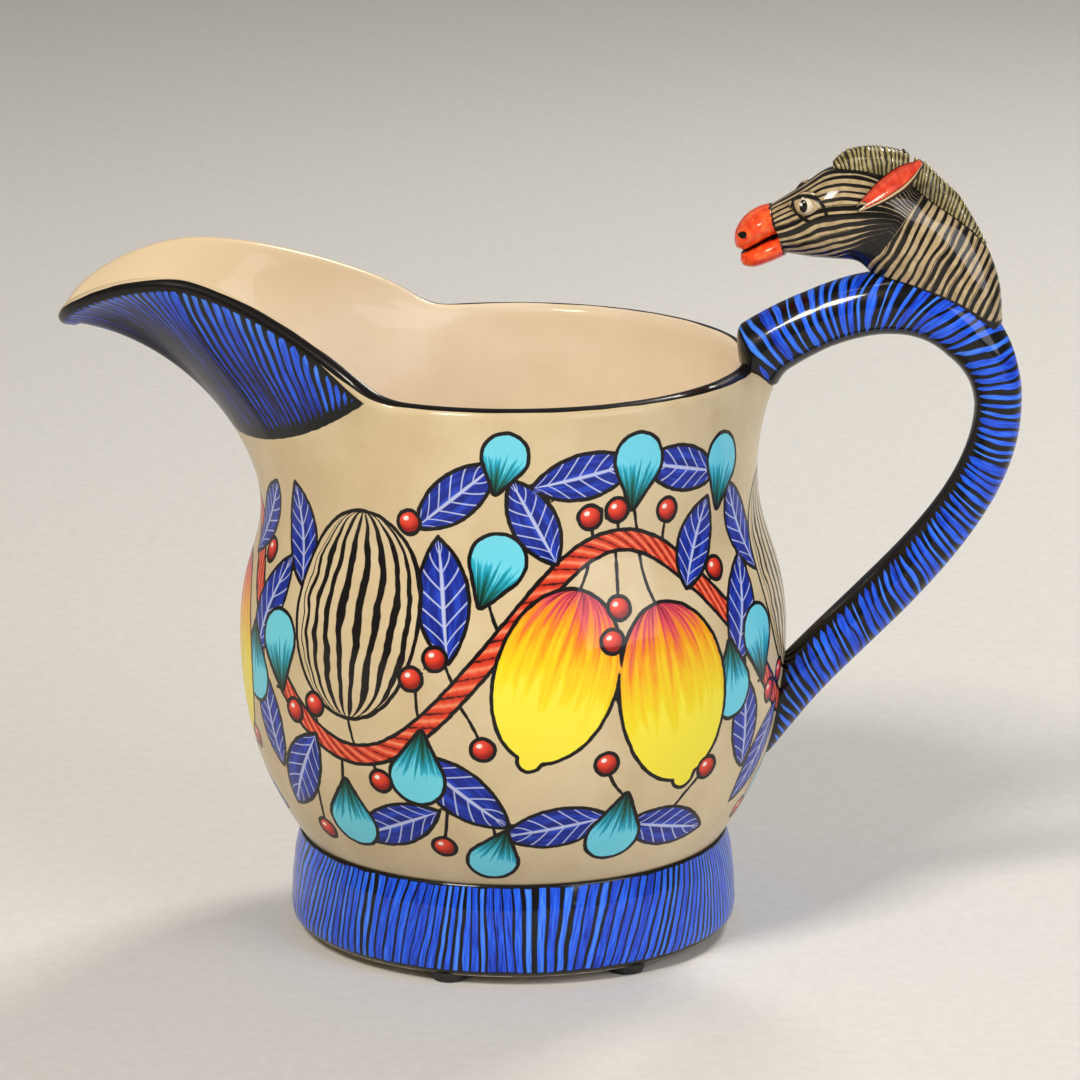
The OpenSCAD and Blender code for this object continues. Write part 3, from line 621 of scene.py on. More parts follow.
edge = node(tree, "Math", {0: slow[0], 1: 0.9, 2: wall_part[0]}, operation="MULTIPLY_ADD")
edge = node(tree, "Math", {0: edge[0], 1: 0.45}, operation="SUBTRACT")
below_line = node(tree, "MapRange", {0: edge[0], 1: lip_ink, 2: lip_ink - 0.12})
above_line = node(tree, "MapRange", {0: edge[0], 1: -0.5, 2: -0.38})
line = node(tree, "Math", {0: below_line[0], 1: above_line[0]}, operation="MULTIPLY")
colour = node(tree, "Mix", {0: line[0], 6: colour, 7: line_black}, data_type="RGBA")[2]
glazed(tree, colour, 0.12, 0.32)

make_piece("vessel_and_spout", body, {
    "wall": wall_marks, "beak": beak_marks, "deep": deep, "vine": vine_marks, "stem": stem_marks, "leaf": leaf_marks,
    "fig": fig_marks, "gourd": gourd_marks, "lemon": lemon_marks, "berry": berry_marks},
    clay, "cream_glaze", "vessel", "spout")

# Foot ring. A turned ring of the same clay luted under the vessel, painted with
# upright blue strokes between black lines, its underside wiped free of glaze.
foot_r, foot_wall = 47, 11
section = np.array([(foot_r - foot_wall, foot_h), (foot_r - foot_wall, 1), (foot_r - foot_wall + 1, 0),
                    (foot_r - 1.4, 0), (foot_r - 0.3, 1.2), (foot_r, 3.4), (foot_r - 0.25, foot_h * 0.45),
                    (foot_r - 0.9, foot_h * 0.75), (waist_r + 0.4, foot_h)])
bearing = np.append(np.linspace(0, 2 * math.pi, 361)[:-1], 2 * math.pi - 0.0003)
line = even(np.concatenate([section, np.zeros((len(section), 1))], 1)[None], 90)[0]
ring = ring_point(line[:, 0], bearing[:, None], line[:, 1])
stroke_lean = 0.06 * np.sin(5 * bearing + 2) + 0.05 * np.sin(9 * bearing)
for leans_at, leans in ((0.7, -0.2), (1.9, 0.22), (3.0, -0.18), (4.05, 0.24), (5.6, 0.2)):
    stroke_lean += leans * np.exp(-((bearing - leans_at) / 0.3)**2)
foot_strokes = 150
foot_number = bearing[:, None] / (2 * math.pi) * foot_strokes + ring[..., 2] * stroke_lean[:, None]
foot_marks = np.stack([foot_number, ring[..., 2], 0 * ring[..., 2] + 1], -1)
# Earthenware with cobalt strokes under the glaze: each stroke streaked by the
# brush's hairs, deep blue to sky blue, with a bare biscuit edge at the bottom
foot_paint, tree = fresh("earthenware_blue_strokes_and_clear_glazed")
mark, part = marks_of(tree, "strokes")
blue = blue_strokes(tree, mark, 0.68, 0.22)
where = node(tree, "TexCoord")
shaky = node(tree, "TexNoise", {"Vector": where["Object"], "Scale": 1 / 0.004, "Detail": 2.0})
height = node(tree, "Math", {0: shaky[0], 1: 1.0, 2: part[1]}, operation="MULTIPLY_ADD")
top_line = node(tree, "MapRange", {0: height[0], 1: 19.35, 2: 19.5})
low_line = node(tree, "MapRange", {0: height[0], 1: 1.9, 2: 1.7})
lines = node(tree, "Math", {0: top_line[0], 1: low_line[0]}, operation="MAXIMUM")
colour = node(tree, "Mix", {0: lines[0], 6: blue, 7: hue("#100D0C")}, data_type="RGBA")
bare = node(tree, "MapRange", {0: height[0], 1: 0.62, 2: 0.7, 3: 1.0, 4: 0.0})
colour = node(tree, "Mix", {0: bare[0], 6: colour[2], 7: hue("#CDBFA2")}, data_type="RGBA")
glazed(tree, colour[2])
make_piece("foot_ring_painted", ring, {"strokes": foot_marks}, foot_paint, "blue_glaze", "foot_ring")

# Handle. A pulled coil of clay, round in section, luted on the rim and on the
# belly, black all over with blue strokes laid across its outer side.
handle_reach, handle_rise, handle_top_x, handle_out_drop, handle_low_h = 100.7, 12.6, 79, 21.1, 48.5
handle_top_d, handle_side_d, handle_low_d, root_len, root_fair, handle_flat = 13.4, 9.8, 11, 18, 2.6, 1.06
handle_top = np.array([handle_top_x, rim_h + handle_rise])
root_hi = np.array([rim_r, rim_h + 0.1 * handle_top_d])
root_lo = np.array([vessel_r(handle_low_h), handle_low_h])
handle_out = handle_top + (handle_reach - handle_top_x, -handle_out_drop)
rise_span, fall_span = handle_top - root_hi, handle_out - root_lo


def handle_at(s):
    """The coil's middle, with s from 0 at the rim over 1 at the top and 2 outside to 3 at the belly."""
    s = np.asarray(s, float)
    one = bez(root_hi, root_hi + rise_span * (0.23, 0.42), handle_top - rise_span * (0.35, 0), handle_top, s)
    two = bez(handle_top, handle_top + (0.6 * (handle_out[0] - handle_top[0]), 0),
              handle_out + (0, 0.52 * handle_out_drop), handle_out, s - 1)
    three = bez(handle_out, handle_out - fall_span * (0, 0.383), root_lo + fall_span * (0.313, 0.281), root_lo, s - 2)
    return np.where(s[..., None] <= 1, one, np.where(s[..., None] <= 2, two, three))


def handle_d(s):
    return np.interp(s, [0, 0.5, 1, 1.5, 1.8, 2, 2.3, 2.6, 2.85, 3],
                     [handle_top_d, handle_top_d - 0.8, handle_top_d, handle_top_d - 0.4, handle_side_d + 0.8,
                      handle_side_d, handle_side_d + 0.4, handle_low_d, handle_low_d, root_len * 0.62])


fine = np.linspace(0.04, 3.0, 1200)
path = handle_at(fine)
path_run = lengths(path)
run_at = np.linspace(0, path_run[-1], 320)
s = np.interp(run_at, path_run, fine)
middle = handle_at(s)
ahead = unit(handle_at(s + 0.004) - handle_at(s - 0.004))
ahead[-1] = unit(middle[-1] - middle[-2])
root_runs = np.linspace(0.5, 11, 22)
run_at = np.r_[run_at, path_run[-1] + root_runs]
s = np.r_[s, np.full(len(root_runs), 3.0)]
middle = np.vstack([middle, middle[-1] + root_runs[:, None] * ahead[-1]])
ahead = np.vstack([ahead, np.tile(ahead[-1], (len(root_runs), 1))])
half = handle_d(s) / 2
spin = np.radians(np.linspace(0, 360, 97)[:-1])[:, None]
fair = root_fair * np.clip((0.16 - s) / 0.16, 0, 1)**2 * np.clip(-np.cos(spin), 0, 1)**1.5
coil = np.stack([middle[None, :, 0] - ahead[None, :, 1] * half * np.cos(spin),
                 -handle_flat * half * np.sin(spin),
                 middle[None, :, 1] + ahead[None, :, 0] * half * np.cos(spin) - fair], -1)

# The upper end is pressed down over the rim, the lower one into the belly
start = coil[:, 0]
seat = np.stack([np.clip(start[:, 0], 47.6, 49.4), start[:, 1] * 0.94, np.minimum(start[:, 2], rim_h - 2.5)], -1)
lean_in = start - 2.4 * np.array([ahead[0, 0], 0, ahead[0, 1]])
j = np.linspace(0, 1, 15)[1:, None, None]
lap = (1 - j)**2 * start + 2 * j * (1 - j) * lean_in + j * j * seat
lap_run = np.linalg.norm(np.diff(np.concatenate([start[None], lap]), axis=0), axis=-1).mean(1).cumsum()
coil = np.concatenate([lap[::-1].transpose(1, 0, 2), coil], 1)
from_axis = np.hypot(coil[..., 0], coil[..., 1])
deepest = vessel_r(coil[..., 2]) - 2
sunk = (from_axis < deepest) & (coil[..., 2] < rim_h - 2)
grow = np.where(sunk, deepest / from_axis, 1)
coil[..., 0] *= grow
coil[..., 1] *= grow
run_at = np.r_[-lap_run[::-1], run_at]
s = np.r_[np.full(len(lap), 0.0), s]
around = np.degrees(np.where(spin > math.pi, spin - 2 * math.pi, spin)) + 0 * s
slant = np.interp(s, [0, 0.25, 0.5, 0.8, 1.2, 1.7, 2.1, 2.5], [-0.12, -0.1, 0.05, 0.45, 0.5, 0.1, 0.05, 0.35])
across_mm = np.radians(around) * handle_d(s) / 2
pitch = np.interp(s, [0, 0.8, 1.5, 3], [2.6, 2.5, 1.9, 1.85])
number = np.cumsum(np.gradient(run_at) / pitch)[None] + slant * across_mm * np.sign(around) / pitch
reached = (1 - ease((np.abs(around) - 118) / 30)) * ease((run_at + lap_run[-1] - 5.2) / 0.8)
reached = reached * ease((np.hypot(coil[..., 0], coil[..., 1]) - vessel_r(coil[..., 2]) - 0.2) / 1.2 + 9 * (s < 1))
coil_marks = np.stack([number, across_mm, reached], -1)
# Earthenware coated black, with cobalt strokes over it: a wet black ground on
# which the strokes stand bright and a little uneven
handle_paint, tree = fresh("earthenware_black_with_blue_strokes_clear_glazed")
glazed(tree, blue_strokes(tree, node(tree, "Attribute", attribute_name="strokes")[1], 0.56, 0.42))
make_piece("handle_coil", coil, {"strokes": coil_marks}, handle_paint, "blue_glaze", "handle")

# Zebra's head and neck. Modelled solid by hand and luted along the top of the
# handle; cream clay with black stripes drawn by brush from the muzzle back.
neck_stations = [(14, 18, -1.4, 3.4, 6.8), (7.5, 22.4, -5, 6.4, 7.2), (1.5, 26.6, -8, 8.6, 7.9),
                 (-6, 29, -12.5, 9, 8.4), (-13.5, 28, -17, 9.3, 8), (-20, 23.6, -20, 9.7, 6.4),
                 (-25.6, 20, -22.4, 10, 5.6)]
for s_under, over, half_w in ((1.13, (13.8, 12.9), 6.3), (1.35, (9.7, 7.7), 5.6), (1.54, (5.7, 3.8), 4.6)):
    below = handle_at(s_under) - handle_top
    neck_stations.insert(0, (below[0] + over[0], below[1] + over[1], below[0], below[1], half_w))


def spline(stations, count):
    """A smooth row of stations through the drawn ones."""
    v = np.asarray(stations, float)
    at = np.linspace(0, len(v) - 1, count)
    i = np.minimum(at.astype(int), len(v) - 2)
    f = (at - i)[:, None]
    p, q, r, w = (v[np.clip(i + k, 0, len(v) - 1)] for k in (-1, 0, 1, 2))
    return 0.5 * (2 * q + (r - p) * f + (2 * p - 5 * q + 4 * r - w) * f**2 + (3 * q - p - 3 * r + w) * f**3)


def strip(stations, count, sides, y=0.0):
    """A modelled strip of clay through its stations, with the turn round it and the length along it."""
    v = spline(stations, count)
    crest, throat = v[:, :2] + handle_top, v[:, 2:4] + handle_top
    mid, arm = (crest + throat) / 2, (crest - throat) / 2
    turn = np.radians(np.linspace(0, 360, sides + 1)[:-1])[:, None]
    grid = np.stack([mid[None, :, 0] + arm[None, :, 0] * np.cos(turn), y + v[None, :, 4] * np.sin(turn),
                     mid[None, :, 1] + arm[None, :, 1] * np.cos(turn)], -1)
    length = lengths(mid)
    off_crest = np.degrees(np.where(turn > math.pi, 2 * math.pi - turn, turn)) / 180
    return grid, off_crest + 0 * length[None], length[None] + 0 * off_crest


# Stripes of the face run from the muzzle back to the ear's root, those behind the
# jowl round the neck, and the paint stops at the hair and at the lids
head, off_crest, length = strip(neck_stations, 170, 96)
from_face = length.max() - length
ear_at, ear_off, girth, sweep = 25.5, 0.33, 25.0, 0.42
aside = (off_crest - ear_off) * girth
to_ear = np.clip((ear_at - from_face) / ear_at, 0.05, 1)
cheek = aside / to_ear**sweep
side_x, side_z = head[..., 0] - handle_top[0], head[..., 2] - handle_top[1]
nape_pitch, cheek_pitch = 1.75, 1.5
nape = (0.88 * side_x - 0.47 * side_z) / nape_pitch
jowl_at = 21.0
on_cheek = (cheek < jowl_at) & (from_face < ear_at)
stripe = np.where(on_cheek, np.sign(cheek) * np.abs(cheek)**0.85 / cheek_pitch + 40.2, nape + 40)
eye_x, eye_z, almond_l, almond_w = -18.1, 21.4, 7.0, 4.2
eyelid_stations = [(-13.4, 21.3, -13.4, 20.7, 0.5), (-15.6, 23.3, -15.5, 19.4, 1.6), (-17.7, 24.1, -17.6, 18.9, 2),
                   (-19.7, 23.6, -19.6, 19.3, 1.7), (-21.6, 21, -21.5, 20.5, 0.5)]
lid_y = 5.9
mane_stations = [(18.9, 12.8, 16.4, 11, 1.2), (16.5, 17, 13, 12.8, 2.1), (13.3, 22.3, 10, 15, 2.4),
                 (9.1, 26.4, 6.5, 17.4, 2.4), (5.6, 29.6, 3.6, 20.4, 2.3), (3.7, 30.4, 2.6, 22.4, 2)]
forelock_stations = [(2.9, 30.6, 1.7, 22.9, 2.2), (0.6, 31.9, 0, 24.4, 3.4), (-2.5, 32.5, -2.6, 25, 3.8),
                     (-6.3, 32.6, -6, 25.4, 3.7), (-10.4, 31.6, -9.6, 25.4, 3), (-13, 29.4, -12.4, 25.4, 1.5)]
locks = np.concatenate([strip(stations, 90, 60)[0].reshape(-1, 3) for stations in (mane_stations, forelock_stations)])
hair_line = np.array([np.linalg.norm(row[:, None] - locks[None], axis=-1).min(1) for row in head]) - 0.42


def almond(grid):
    """Distance outside the almond of the eye, which slants down towards the back."""
    x, z = grid[..., 0] - handle_top[0] - eye_x - 0.7, grid[..., 2] - handle_top[1] - eye_z + 0.7
    return leaf_form(0.906 * x - 0.423 * z, 0.423 * x + 0.906 * z, almond_l / 2, almond_w / 2)[0]


coil_mid = handle_at(np.linspace(0.7, 2.1, 200))
beside_coil = np.hypot(head[..., 1, None], head[..., 2, None] - coil_mid[:, 1])
to_coil = np.min(np.hypot(head[..., 0, None] - coil_mid[:, 0], beside_coil), -1)
eye_ring = np.where(np.abs(head[..., 1]) > 3, np.abs(almond(head) - 0.4) - 0.4, 9)
ink = np.minimum(np.minimum(eye_ring, hair_line), to_coil - 7.3)
heavy = np.where(on_cheek, 0.5 + 0.26 * ease((0.5 - to_ear) / 0.4) * ease((aside + 1) / 4), 0.46)
heavy = heavy + 0.22 * on_cheek * ease((0.34 - to_ear) / 0.2)
jowl = np.abs(cheek - jowl_at) / np.hypot(sweep * cheek / (to_ear * ear_at), to_ear**-sweep)
heavy = np.where((from_face < ear_at) & (aside > 0), np.maximum(heavy, 1.3 * (1 - ease((jowl - 0.7) / 0.4))), heavy)
throat = 1.3 * ease((25.6 - from_face) / 2) * ease((off_crest - 0.56) / 0.07)
heavy = np.where(on_cheek, heavy, np.maximum(heavy, throat))
heavy = heavy + 0.3 * np.exp(-(hair_line / 1.6)**2) * (from_face < ear_at)
stripe_black = hue("#14100C")
# Earthenware with brushed stripes: soft-edged black lines of uneven weight, some
# with a hair line beside them, on a cream that is mottled by the clay
zebra_paint, tree = fresh("earthenware_zebra_stripes_clear_glazed")
part = marks_of(tree, "stripes")[1]
where = node(tree, "TexCoord")
drift = node(tree, "TexNoise", {"Vector": where["Object"], "Scale": 1 / 0.008, "Detail": 1.0})
drift = node(tree, "MapRange", {0: drift[0], 1: 0.2, 2: 0.8, 3: -0.3, 4: 0.3})
shaky = node(tree, "TexNoise", {"Vector": where["Object"], "Scale": 1 / 0.0014, "Detail": 2.0})
place = node(tree, "Math", {0: part[0], 1: drift[0]}, operation="ADD")
wave = node(tree, "Math", {0: place[0], 1: 0.5}, operation="PINGPONG")
number = node(tree, "Math", {0: place[0], 1: 0.5}, operation="ADD")
number = node(tree, "Math", {0: number[0]}, operation="FLOOR")
chance = node(tree, "TexWhiteNoise", {"W": number[0]}, noise_dimensions="1D")
thin = node(tree, "Math", {0: part[1], 1: 0.5, 2: 0.02}, operation="MULTIPLY_ADD")
thin = node(tree, "Math", {0: chance[0], 1: 0.16, 2: thin[0]}, operation="MULTIPLY_ADD")
soft = node(tree, "TexNoise", {"Vector": where["Object"], "Scale": 1 / 0.0032, "Detail": 2.0})
edge = node(tree, "Math", {0: soft[0], 1: 0.16, 2: wave[0]}, operation="MULTIPLY_ADD")
edge = node(tree, "Math", {0: edge[0], 1: thin[0]}, operation="SUBTRACT")
black = node(tree, "MapRange", {0: edge[0], 1: 0.03, 2: -0.03})
beside = node(tree, "Math", {0: place[0]}, operation="FRACT")
beside = node(tree, "Math", {0: beside[0], 1: 0.63, 2: 0.045}, operation="COMPARE")
some = node(tree, "Math", {0: chance[0], 1: 0.45}, operation="GREATER_THAN")
bare_lid = node(tree, "Math", {0: part[1], 1: 0.1}, operation="GREATER_THAN")
hair = node(tree, "Math", {0: beside[0], 1: some[0]}, operation="MULTIPLY")
hair = node(tree, "Math", {0: hair[0], 1: bare_lid[0]}, operation="MULTIPLY")
black = node(tree, "Math", {0: black[0], 1: hair[0]}, operation="MAXIMUM")
outlined = node(tree, "MapRange", {0: part[2], 1: 0.1, 2: -0.1})
black = node(tree, "Math", {0: black[0], 1: outlined[0]}, operation="MAXIMUM")
cream = node(tree, "ValToRGB", {0: shaky[0]}, ramp=((0.3, "#A48C64"), (0.7, "#C4AE86")))
colour = node(tree, "Mix", {0: black[0], 6: cream[0], 7: stripe_black}, data_type="RGBA")
glazed(tree, colour[2])
make_piece("zebra_head_and_neck", head, {"stripes": np.stack([stripe, heavy, ink], -1)}, zebra_paint, "striped_glaze",
           "head_and_neck")

# Muzzle and lower lip. Two pressed lumps of clay set on the front of the face,
# painted orange red, with black nostrils and a dark line for the mouth.
muzzle_stations = [(-25.8, 20.1, -23.8, 14.3, 5.9), (-28.4, 19.3, -26, 13.3, 6.5), (-31, 17.5, -28.6, 11.8, 6.3),
                   (-32.7, 15, -30.7, 10.7, 5.2), (-33.1, 13.2, -32.3, 10.9, 3)]
lower_stations = [(-23.64, 14.4, -22.31, 9.7, 5.3), (-26.3, 13.5, -25.2, 8.3, 5.6), (-28.9, 11.9, -28.5, 7.1, 5.3),
                  (-30.9, 10.7, -30.8, 7.2, 3.9), (-31.7, 9.8, -31.7, 8.1, 1.9)]
muzzle, muzzle_off, muzzle_len = strip(muzzle_stations, 60, 72)
nose_x, nose_z = muzzle[..., 0] - handle_top[0] + 31.2, muzzle[..., 2] - handle_top[1] - 14.7
nostril = np.hypot((nose_x + 0.3 * nose_z) / 1.25, (nose_z - 0.3 * nose_x) / 0.7)
muzzle_ink = np.minimum((nostril - 1) * 0.7, np.minimum((0.87 - muzzle_off) * 7, muzzle_len - 0.2))
lower, lower_off, lower_len = strip(lower_stations, 50, 64)
lower_ink = np.minimum((lower_off - 0.21) * 7, lower_len - 0.2)
# Earthenware with a red wash: orange shows through where the brush left it thin
red_paint, tree = fresh("earthenware_orange_red_clear_glazed")
where = node(tree, "TexCoord")
mark = node(tree, "Attribute", attribute_name="ink")
brush = node(tree, "TexNoise", {"Vector": where["Object"], "Scale": 1 / 0.0016, "Detail": 3.0})
red = node(tree, "ValToRGB", {0: brush[0]}, ramp=((0.3, "#D63A18"), (0.7, "#FF7638"), (0.5, "#F65224")))
drawn_at = node(tree, "Math", {0: brush[0], 1: 0.9, 2: mark[2]}, operation="MULTIPLY_ADD")
inked = node(tree, "MapRange", {0: drawn_at[0], 1: 0.5, 2: 0.38})
colour = node(tree, "Mix", {0: inked[0], 6: red[0], 7: hue("#1A0D0A")}, data_type="RGBA")
glazed(tree, colour[2])
make_piece("zebra_muzzle", muzzle, {"ink": muzzle_ink}, red_paint, "red_glaze", "muzzle")
make_piece("zebra_lower_lip", lower, {"ink": lower_ink}, red_paint, "red_glaze", "lower_lip")

# Mane and forelock. Rolled strips of clay laid along the crest of the neck and
# between the ears, olive cream with fine dark hair lines drawn across them.

# Earthenware with an olive wash and hair lines: they are drawn 0.95 mm apart,
# coarser than the real ones, so that they show
hair_paint, tree = fresh("earthenware_olive_cream_with_hair_lines_clear_glazed")
part = marks_of(tree, "hair")[1]
where = node(tree, "TexCoord")
drift = node(tree, "TexNoise", {"Vector": where["Object"], "Scale": 1 / 0.004, "Detail": 2.0})
place = node(tree, "Math", {0: drift[0], 1: 0.5, 2: part[0]}, operation="MULTIPLY_ADD")
hair = node(tree, "Math", {0: place[0], 1: 0.5}, operation="PINGPONG")
shaky = node(tree, "TexNoise", {"Vector": where["Object"], "Scale": 1 / 0.0014, "Detail": 2.0})
hair = node(tree, "Math", {0: shaky[0], 1: 0.3, 2: hair[0]}, operation="MULTIPLY_ADD")
hair = node(tree, "MapRange", {0: hair[0], 1: 0.35, 2: 0.42, 3: 0.92, 4: 0.0})
olive = node(tree, "ValToRGB", {0: shaky[0]}, ramp=((0.3, "#8C7E4C"), (0.7, "#B4A676")))
base_line = node(tree, "MapRange", {0: part[1], 1: 0.66, 2: 0.7})
hair = node(tree, "Math", {0: hair[0], 1: base_line[0]}, operation="MAXIMUM")
colour = node(tree, "Mix", {0: hair[0], 6: olive[0], 7: hue("#17140C")}, data_type="RGBA")
glazed(tree, colour[2])
hair_pitch, hair_depth = 0.95, 0.1
for name, stations, cad in (("zebra_mane", mane_stations, "mane"), ("zebra_forelock", forelock_stations, "forelock")):
    lock, lock_off, lock_len = strip(stations, 220, 60)
    combed = lock_len / hair_pitch + 1.6 * lock_off + 0.16 * np.sin(1.7 * lock_len + 4 * lock_off)
    combed += 0.14 * np.sin(0.83 * lock_len - 7 * lock_off)
    groove = hair_depth * (1 + 0.5 * np.sin(1.1 * lock_len)) * np.cos(2 * math.pi * (combed + 0.25))
    lock -= groove[..., None] * unit(lock - lock.mean(0))
    hairs = np.stack([combed, lock_off, 0 * lock_off], -1)
    make_piece(name, lock, {"hair": hairs}, hair_paint, "mane_glaze", cad)

# Ears. Cupped blades pressed on the sides of the head and laid back, striped
# outside, orange red inside, with a black line round the edge.
ear_root = np.array([-7.8, 7.9, 20.6])
ear_tips = {"left": np.array([5.4, 8.2, 31]), "right": np.array([1.8, 8.2, 29.9])}
ear_open = unit(np.array([-0.25, 0.9, 0.2]))
ear_t = 1.2
# Earthenware, red washed inside: the colour breaks to orange, and the edge has a
# cream band between two fine black lines
ear_paint, tree = fresh("earthenware_red_inside_striped_outside_clear_glazed")
part = marks_of(tree, "ear")[1]
where = node(tree, "TexCoord")
shaky = node(tree, "TexNoise", {"Vector": where["Object"], "Scale": 1 / 0.0014, "Detail": 2.0})
red = node(tree, "ValToRGB", {0: shaky[0]}, ramp=((0.3, "#C8341E"), (0.7, "#F25A38")))
rows = node(tree, "Math", {0: part[0], 1: 0.5}, operation="PINGPONG")
rows = node(tree, "MapRange", {0: rows[0], 1: 0.2, 2: 0.26, 3: 1.0, 4: 0.0})
back = node(tree, "Mix", {0: rows[0], 6: hue("#C8B188"), 7: stripe_black}, data_type="RGBA")
colour = node(tree, "Mix", {0: part[1], 6: back[2], 7: red[0]}, data_type="RGBA")
band = node(tree, "MapRange", {0: part[2], 1: 0.82, 2: 0.84})
colour = node(tree, "Mix", {0: band[0], 6: colour[2], 7: hue("#D6C398")}, data_type="RGBA")
rim_line = node(tree, "ValToRGB", {0: part[2]}, ramp=((0.0, "#FFFFFF"), (1.0, "#FFFFFF"), (0.02, "#FFFFFF"),
                                                      (0.04, "#000000"), (0.79, "#000000"), (0.81, "#FFFFFF"),
                                                      (0.84, "#FFFFFF"), (0.85, "#000000"), (0.97, "#000000"),
                                                      (0.985, "#FFFFFF")))
colour = node(tree, "Mix", {0: rim_line[0], 6: colour[2], 7: stripe_black}, data_type="RGBA")
glazed(tree, colour[2])
for side, sign in (("left", -1), ("right", 1)):
    tip = ear_tips[side]
    ear_way = unit(tip - ear_root)
    ear_across = unit(np.cross(ear_open, ear_way))
    ear_face = np.cross(ear_way, ear_across)
    f = np.linspace(0, 1, 40)
    width = np.interp(f, [0, 0.15, 0.4, 0.65, 0.85, 1], [0.4, 1.3, 2.3, 2.6, 1.9, 0.5])
    width = np.convolve(np.pad(width, 3, mode="edge"), np.ones(7) / 7, "valid")
    centre = ear_root + f[:, None] * (tip - ear_root)
    q = np.radians(np.linspace(0, 180, 19))
    hollow = 0.62 * width
    back_side = centre[None] + (width * np.cos(q)[:, None])[..., None] * ear_across \
        - (hollow * np.sin(q)[:, None] + ear_t / 2)[..., None] * ear_face
    front = centre[None] + (0.92 * width * np.cos(q[::-1])[:, None])[..., None] * ear_across \
        + (ear_t / 2 - hollow * np.sin(q[::-1])[:, None])[..., None] * ear_face
    ear = np.concatenate([back_side, front], 0)
    ear = np.stack([handle_top[0] + ear[..., 0], sign * ear[..., 1], handle_top[1] + ear[..., 2]], -1)
    inner_side = np.repeat([0.0, 1.0], len(q))[:, None] * ease((f - 0.1) / 0.06)
    edge = 0.5 + 0.5 * np.concatenate([np.cos(q), np.cos(q[::-1])])[:, None] + 0 * f
    rows_at = 6 * f[None] + 0 * edge
    make_piece("zebra_%s_ear" % side, ear, {"ear": np.stack([rows_at, inner_side, edge], -1)}, ear_paint, "red_glaze",
               side + "_ear")

# Eyes. A bead of clay pressed into a socket under a rolled lid. The bead is cream
# with a black pupil and a painted white highlight, the lid striped like the head,
# with a black line drawn round the almond of the eye.
eye_y, eye_r = 6.5, 1.9
# Earthenware eye under thick smooth glaze: cream, a black pupil that looks wet, a painted highlight
eye_paint, tree = fresh("earthenware_black_eye_clear_glazed")
part = marks_of(tree, "eye")[1]
pupil = node(tree, "MapRange", {0: part[0], 1: 1.0, 2: 1.1, 3: 1.0, 4: 0.0})
rim = node(tree, "MapRange", {0: part[2], 1: -0.05, 2: 0.05})
inked = node(tree, "Math", {0: pupil[0], 1: rim[0]}, operation="MAXIMUM")
colour = node(tree, "Mix", {0: inked[0], 6: hue("#E2D4B6"), 7: hue("#0E0B0A")}, data_type="RGBA")
# Painted highlight: a white spot at the pupil's edge
glint = node(tree, "MapRange", {0: part[1], 1: 0.9, 2: 1.1, 3: 1.0, 4: 0.0})
colour = node(tree, "Mix", {0: glint[0], 6: colour[2], 7: hue("#F2ECE0")}, data_type="RGBA")
glazed(tree, colour[2], 0.02)
for side, sign in (("left", -1), ("right", 1)):
    lid_grid = strip(eyelid_stations, 40, 48, sign * lid_y)[0]
    ball = np.array([handle_top[0] + eye_x, sign * eye_y, handle_top[1] + eye_z])
    near = np.array([np.linalg.norm(row[:, None] - head.reshape(-1, 3)[None], axis=-1).argmin(1) for row in lid_grid])
    drawn_eye = almond(lid_grid)
    lid_heavy, lid_ink = np.where(drawn_eye < 0.2, -0.4, 0.5), np.abs(drawn_eye - 0.4) - 0.4
    lid_marks = np.stack([stripe.ravel()[near], lid_heavy, lid_ink], -1)
    make_piece("zebra_%s_eyelid" % side, lid_grid, {"stripes": lid_marks}, zebra_paint, "striped_glaze",
               side + "_eyelid")
    tilt = np.linspace(0.02, math.pi - 0.02, 25)[None]
    spin = np.linspace(0, 2 * math.pi, 49)[:-1][:, None]
    bead = ball + eye_r * np.stack([np.sin(tilt) * np.cos(spin), sign * np.cos(tilt) + 0 * spin,
                                    np.sin(tilt) * np.sin(spin)], -1)
    bead_x, bead_z = bead[..., 0] - ball[0], bead[..., 2] - ball[2]
    pupil_at, glint_at = np.hypot((bead_x + 0.5) / 0.8, bead_z / 1.3), np.hypot(bead_x + 1.0, bead_z - 0.4) / 0.34
    looks = [pupil_at, glint_at, almond(bead)]
    make_piece("zebra_%s_eye" % side, bead, {"eye": np.stack(looks, -1)}, eye_paint, "black_glaze", side + "_eye")

# Foot pads. Six small self-adhesive bumpers of black rubber, moulded as low
# domes and stuck under the foot so that the jug doesn't scratch the table.
pad_bearings = [5, 65, 125, 185, 257, 309]
# Moulded rubber: matt and nearly black, with a grain of 0.5 mm, coarser than the
# real one, so that it shows
rubber, tree = fresh("rubber_moulded_matt")
where = node(tree, "TexCoord")
grain = node(tree, "TexNoise", {"Vector": where["Object"], "Scale": 1 / 0.0005, "Detail": 2.0})
black = node(tree, "ValToRGB", {0: grain[0]}, ramp=((0.3, "#1A1A1A"), (0.7, "#2A2A29")))
bump = node(tree, "Bump", {"Strength": 0.2, "Distance": 0.0002, "Height": grain[0]})
matt = node(tree, "BsdfPrincipled", {"Base Color": black[0], "Roughness": 0.7, "IOR": 1.52, "Normal": bump[0]})
node(tree, "OutputMaterial", {"Surface": matt[0]})
dome_r = np.array([3.1, 3.3, 3.45, 3.6, 3.8, 3.95, 4.0, 4.0, 3.9])
dome_z = np.array([-2.0, -1.97, -1.85, -1.5, -0.9, -0.4, -0.15, -0.03, 0.0])
spin = np.linspace(0, 2 * math.pi, 41)[:-1][:, None]
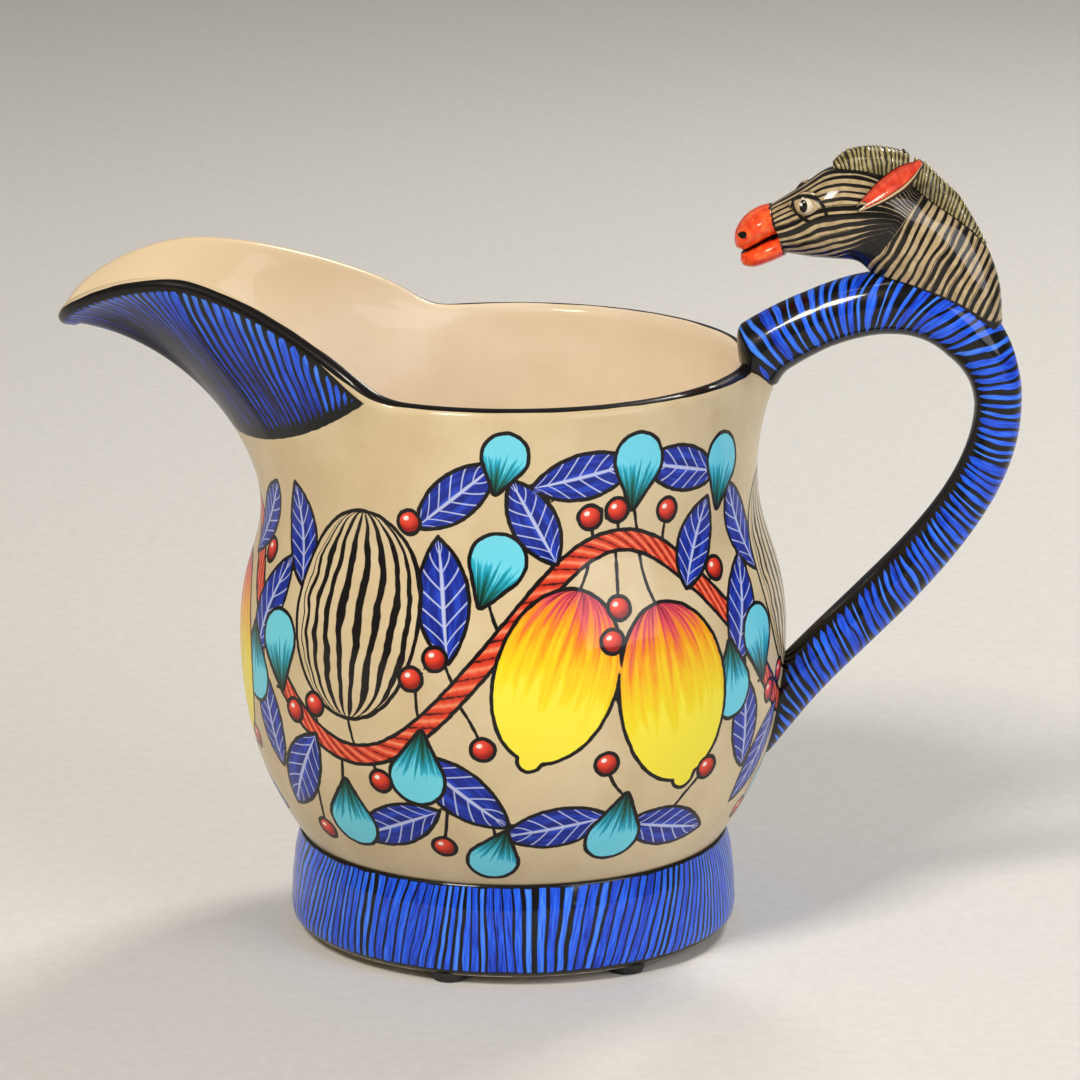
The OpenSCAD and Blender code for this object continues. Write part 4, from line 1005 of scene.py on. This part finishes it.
for k, turn_deg in enumerate(pad_bearings):
    a = math.radians(turn_deg)
    mid_r = foot_r - foot_wall / 2 + 0.6
    pad = np.stack([mid_r * math.cos(a) + dome_r * np.cos(spin), mid_r * math.sin(a) + dome_r * np.sin(spin),
                    dome_z + 0 * spin], -1)
    make_piece("rubber_foot_%d" % (k + 1), pad, {}, rubber, "rubber", "foot_pad_%d" % (k + 1))

# Stage. A plain pale floor, soft studio light and the camera where the
# photographer stood, a little above the rim and turned towards the handle.
floor_mesh = bpy.data.meshes.new("floor")
floor_mesh.from_pydata([(-4, -4, 0), (4, -4, 0), (4, 4, 0), (-4, 4, 0)], [], [(0, 1, 2, 3)])
floor = put("floor", floor_mesh)
# Backdrop paper: matt and pale, its fibre drawn at 3 mm, coarser than the real one
paper, tree = fresh("pale_paper_backdrop")
where = node(tree, "TexCoord")
fibre = node(tree, "TexNoise", {"Vector": where["Object"], "Scale": 1 / 0.003, "Detail": 2.0})
tone = node(tree, "ValToRGB", {0: fibre[0]}, ramp=((0.3, "#D2D0CC"), (0.7, "#D8D6D2")))
matt = node(tree, "BsdfPrincipled", {"Base Color": tone[0], "Roughness": 0.8})
node(tree, "OutputMaterial", {"Surface": matt[0]})
floor_mesh.materials.append(paper)

target = np.array([axis_x / 1000 + 0.00563, 0.00049, 0.08095 + base_z / 1000])
sight = np.array([0.08425, -0.96296, 0.25612])
camera = put("camera", bpy.data.cameras.new("camera"))
camera_away, camera_angle = 1.36, 9.5
camera.location = target + camera_away * sight
camera.data.angle = math.radians(camera_angle)
camera.data.clip_start = 0.05
bpy.context.scene.camera = camera


def aim(obj, at):
    from_here = np.array(at) - np.array(obj.location)
    flat = math.hypot(from_here[0], from_here[1])
    obj.rotation_euler = (math.atan2(flat, -from_here[2]), 0, math.atan2(-from_here[0], from_here[1]))


aim(camera, target)
for name, place, size, watts, tint in (("key", (-0.5, -0.9, 1.1), 0.34, 16, "#FFF6EA"),
                                       ("fill", (0.95, -0.75, 0.55), 0.8, 8, "#F4F6FF"),
                                       ("back", (0.45, 0.75, 0.9), 0.3, 8, "#FFFAF2")):
    lamp = bpy.data.lights.new(name, "AREA")
    lamp.size = size
    lamp.energy = watts
    lamp.color = hue(tint)[:3]
    light = put(name, lamp)
    light.location = place
    aim(light, (0, 0, 0.08))
world = bpy.data.worlds.new("studio")
bpy.context.scene.world = world
world.use_nodes = True
world.node_tree.nodes.clear()
sky = node(world.node_tree, "Background", {"Color": hue("#E6E8EA"), "Strength": 0.2})
node(world.node_tree, "OutputWorld", {"Surface": sky[0]})
bpy.context.scene.view_settings.view_transform = "Standard"
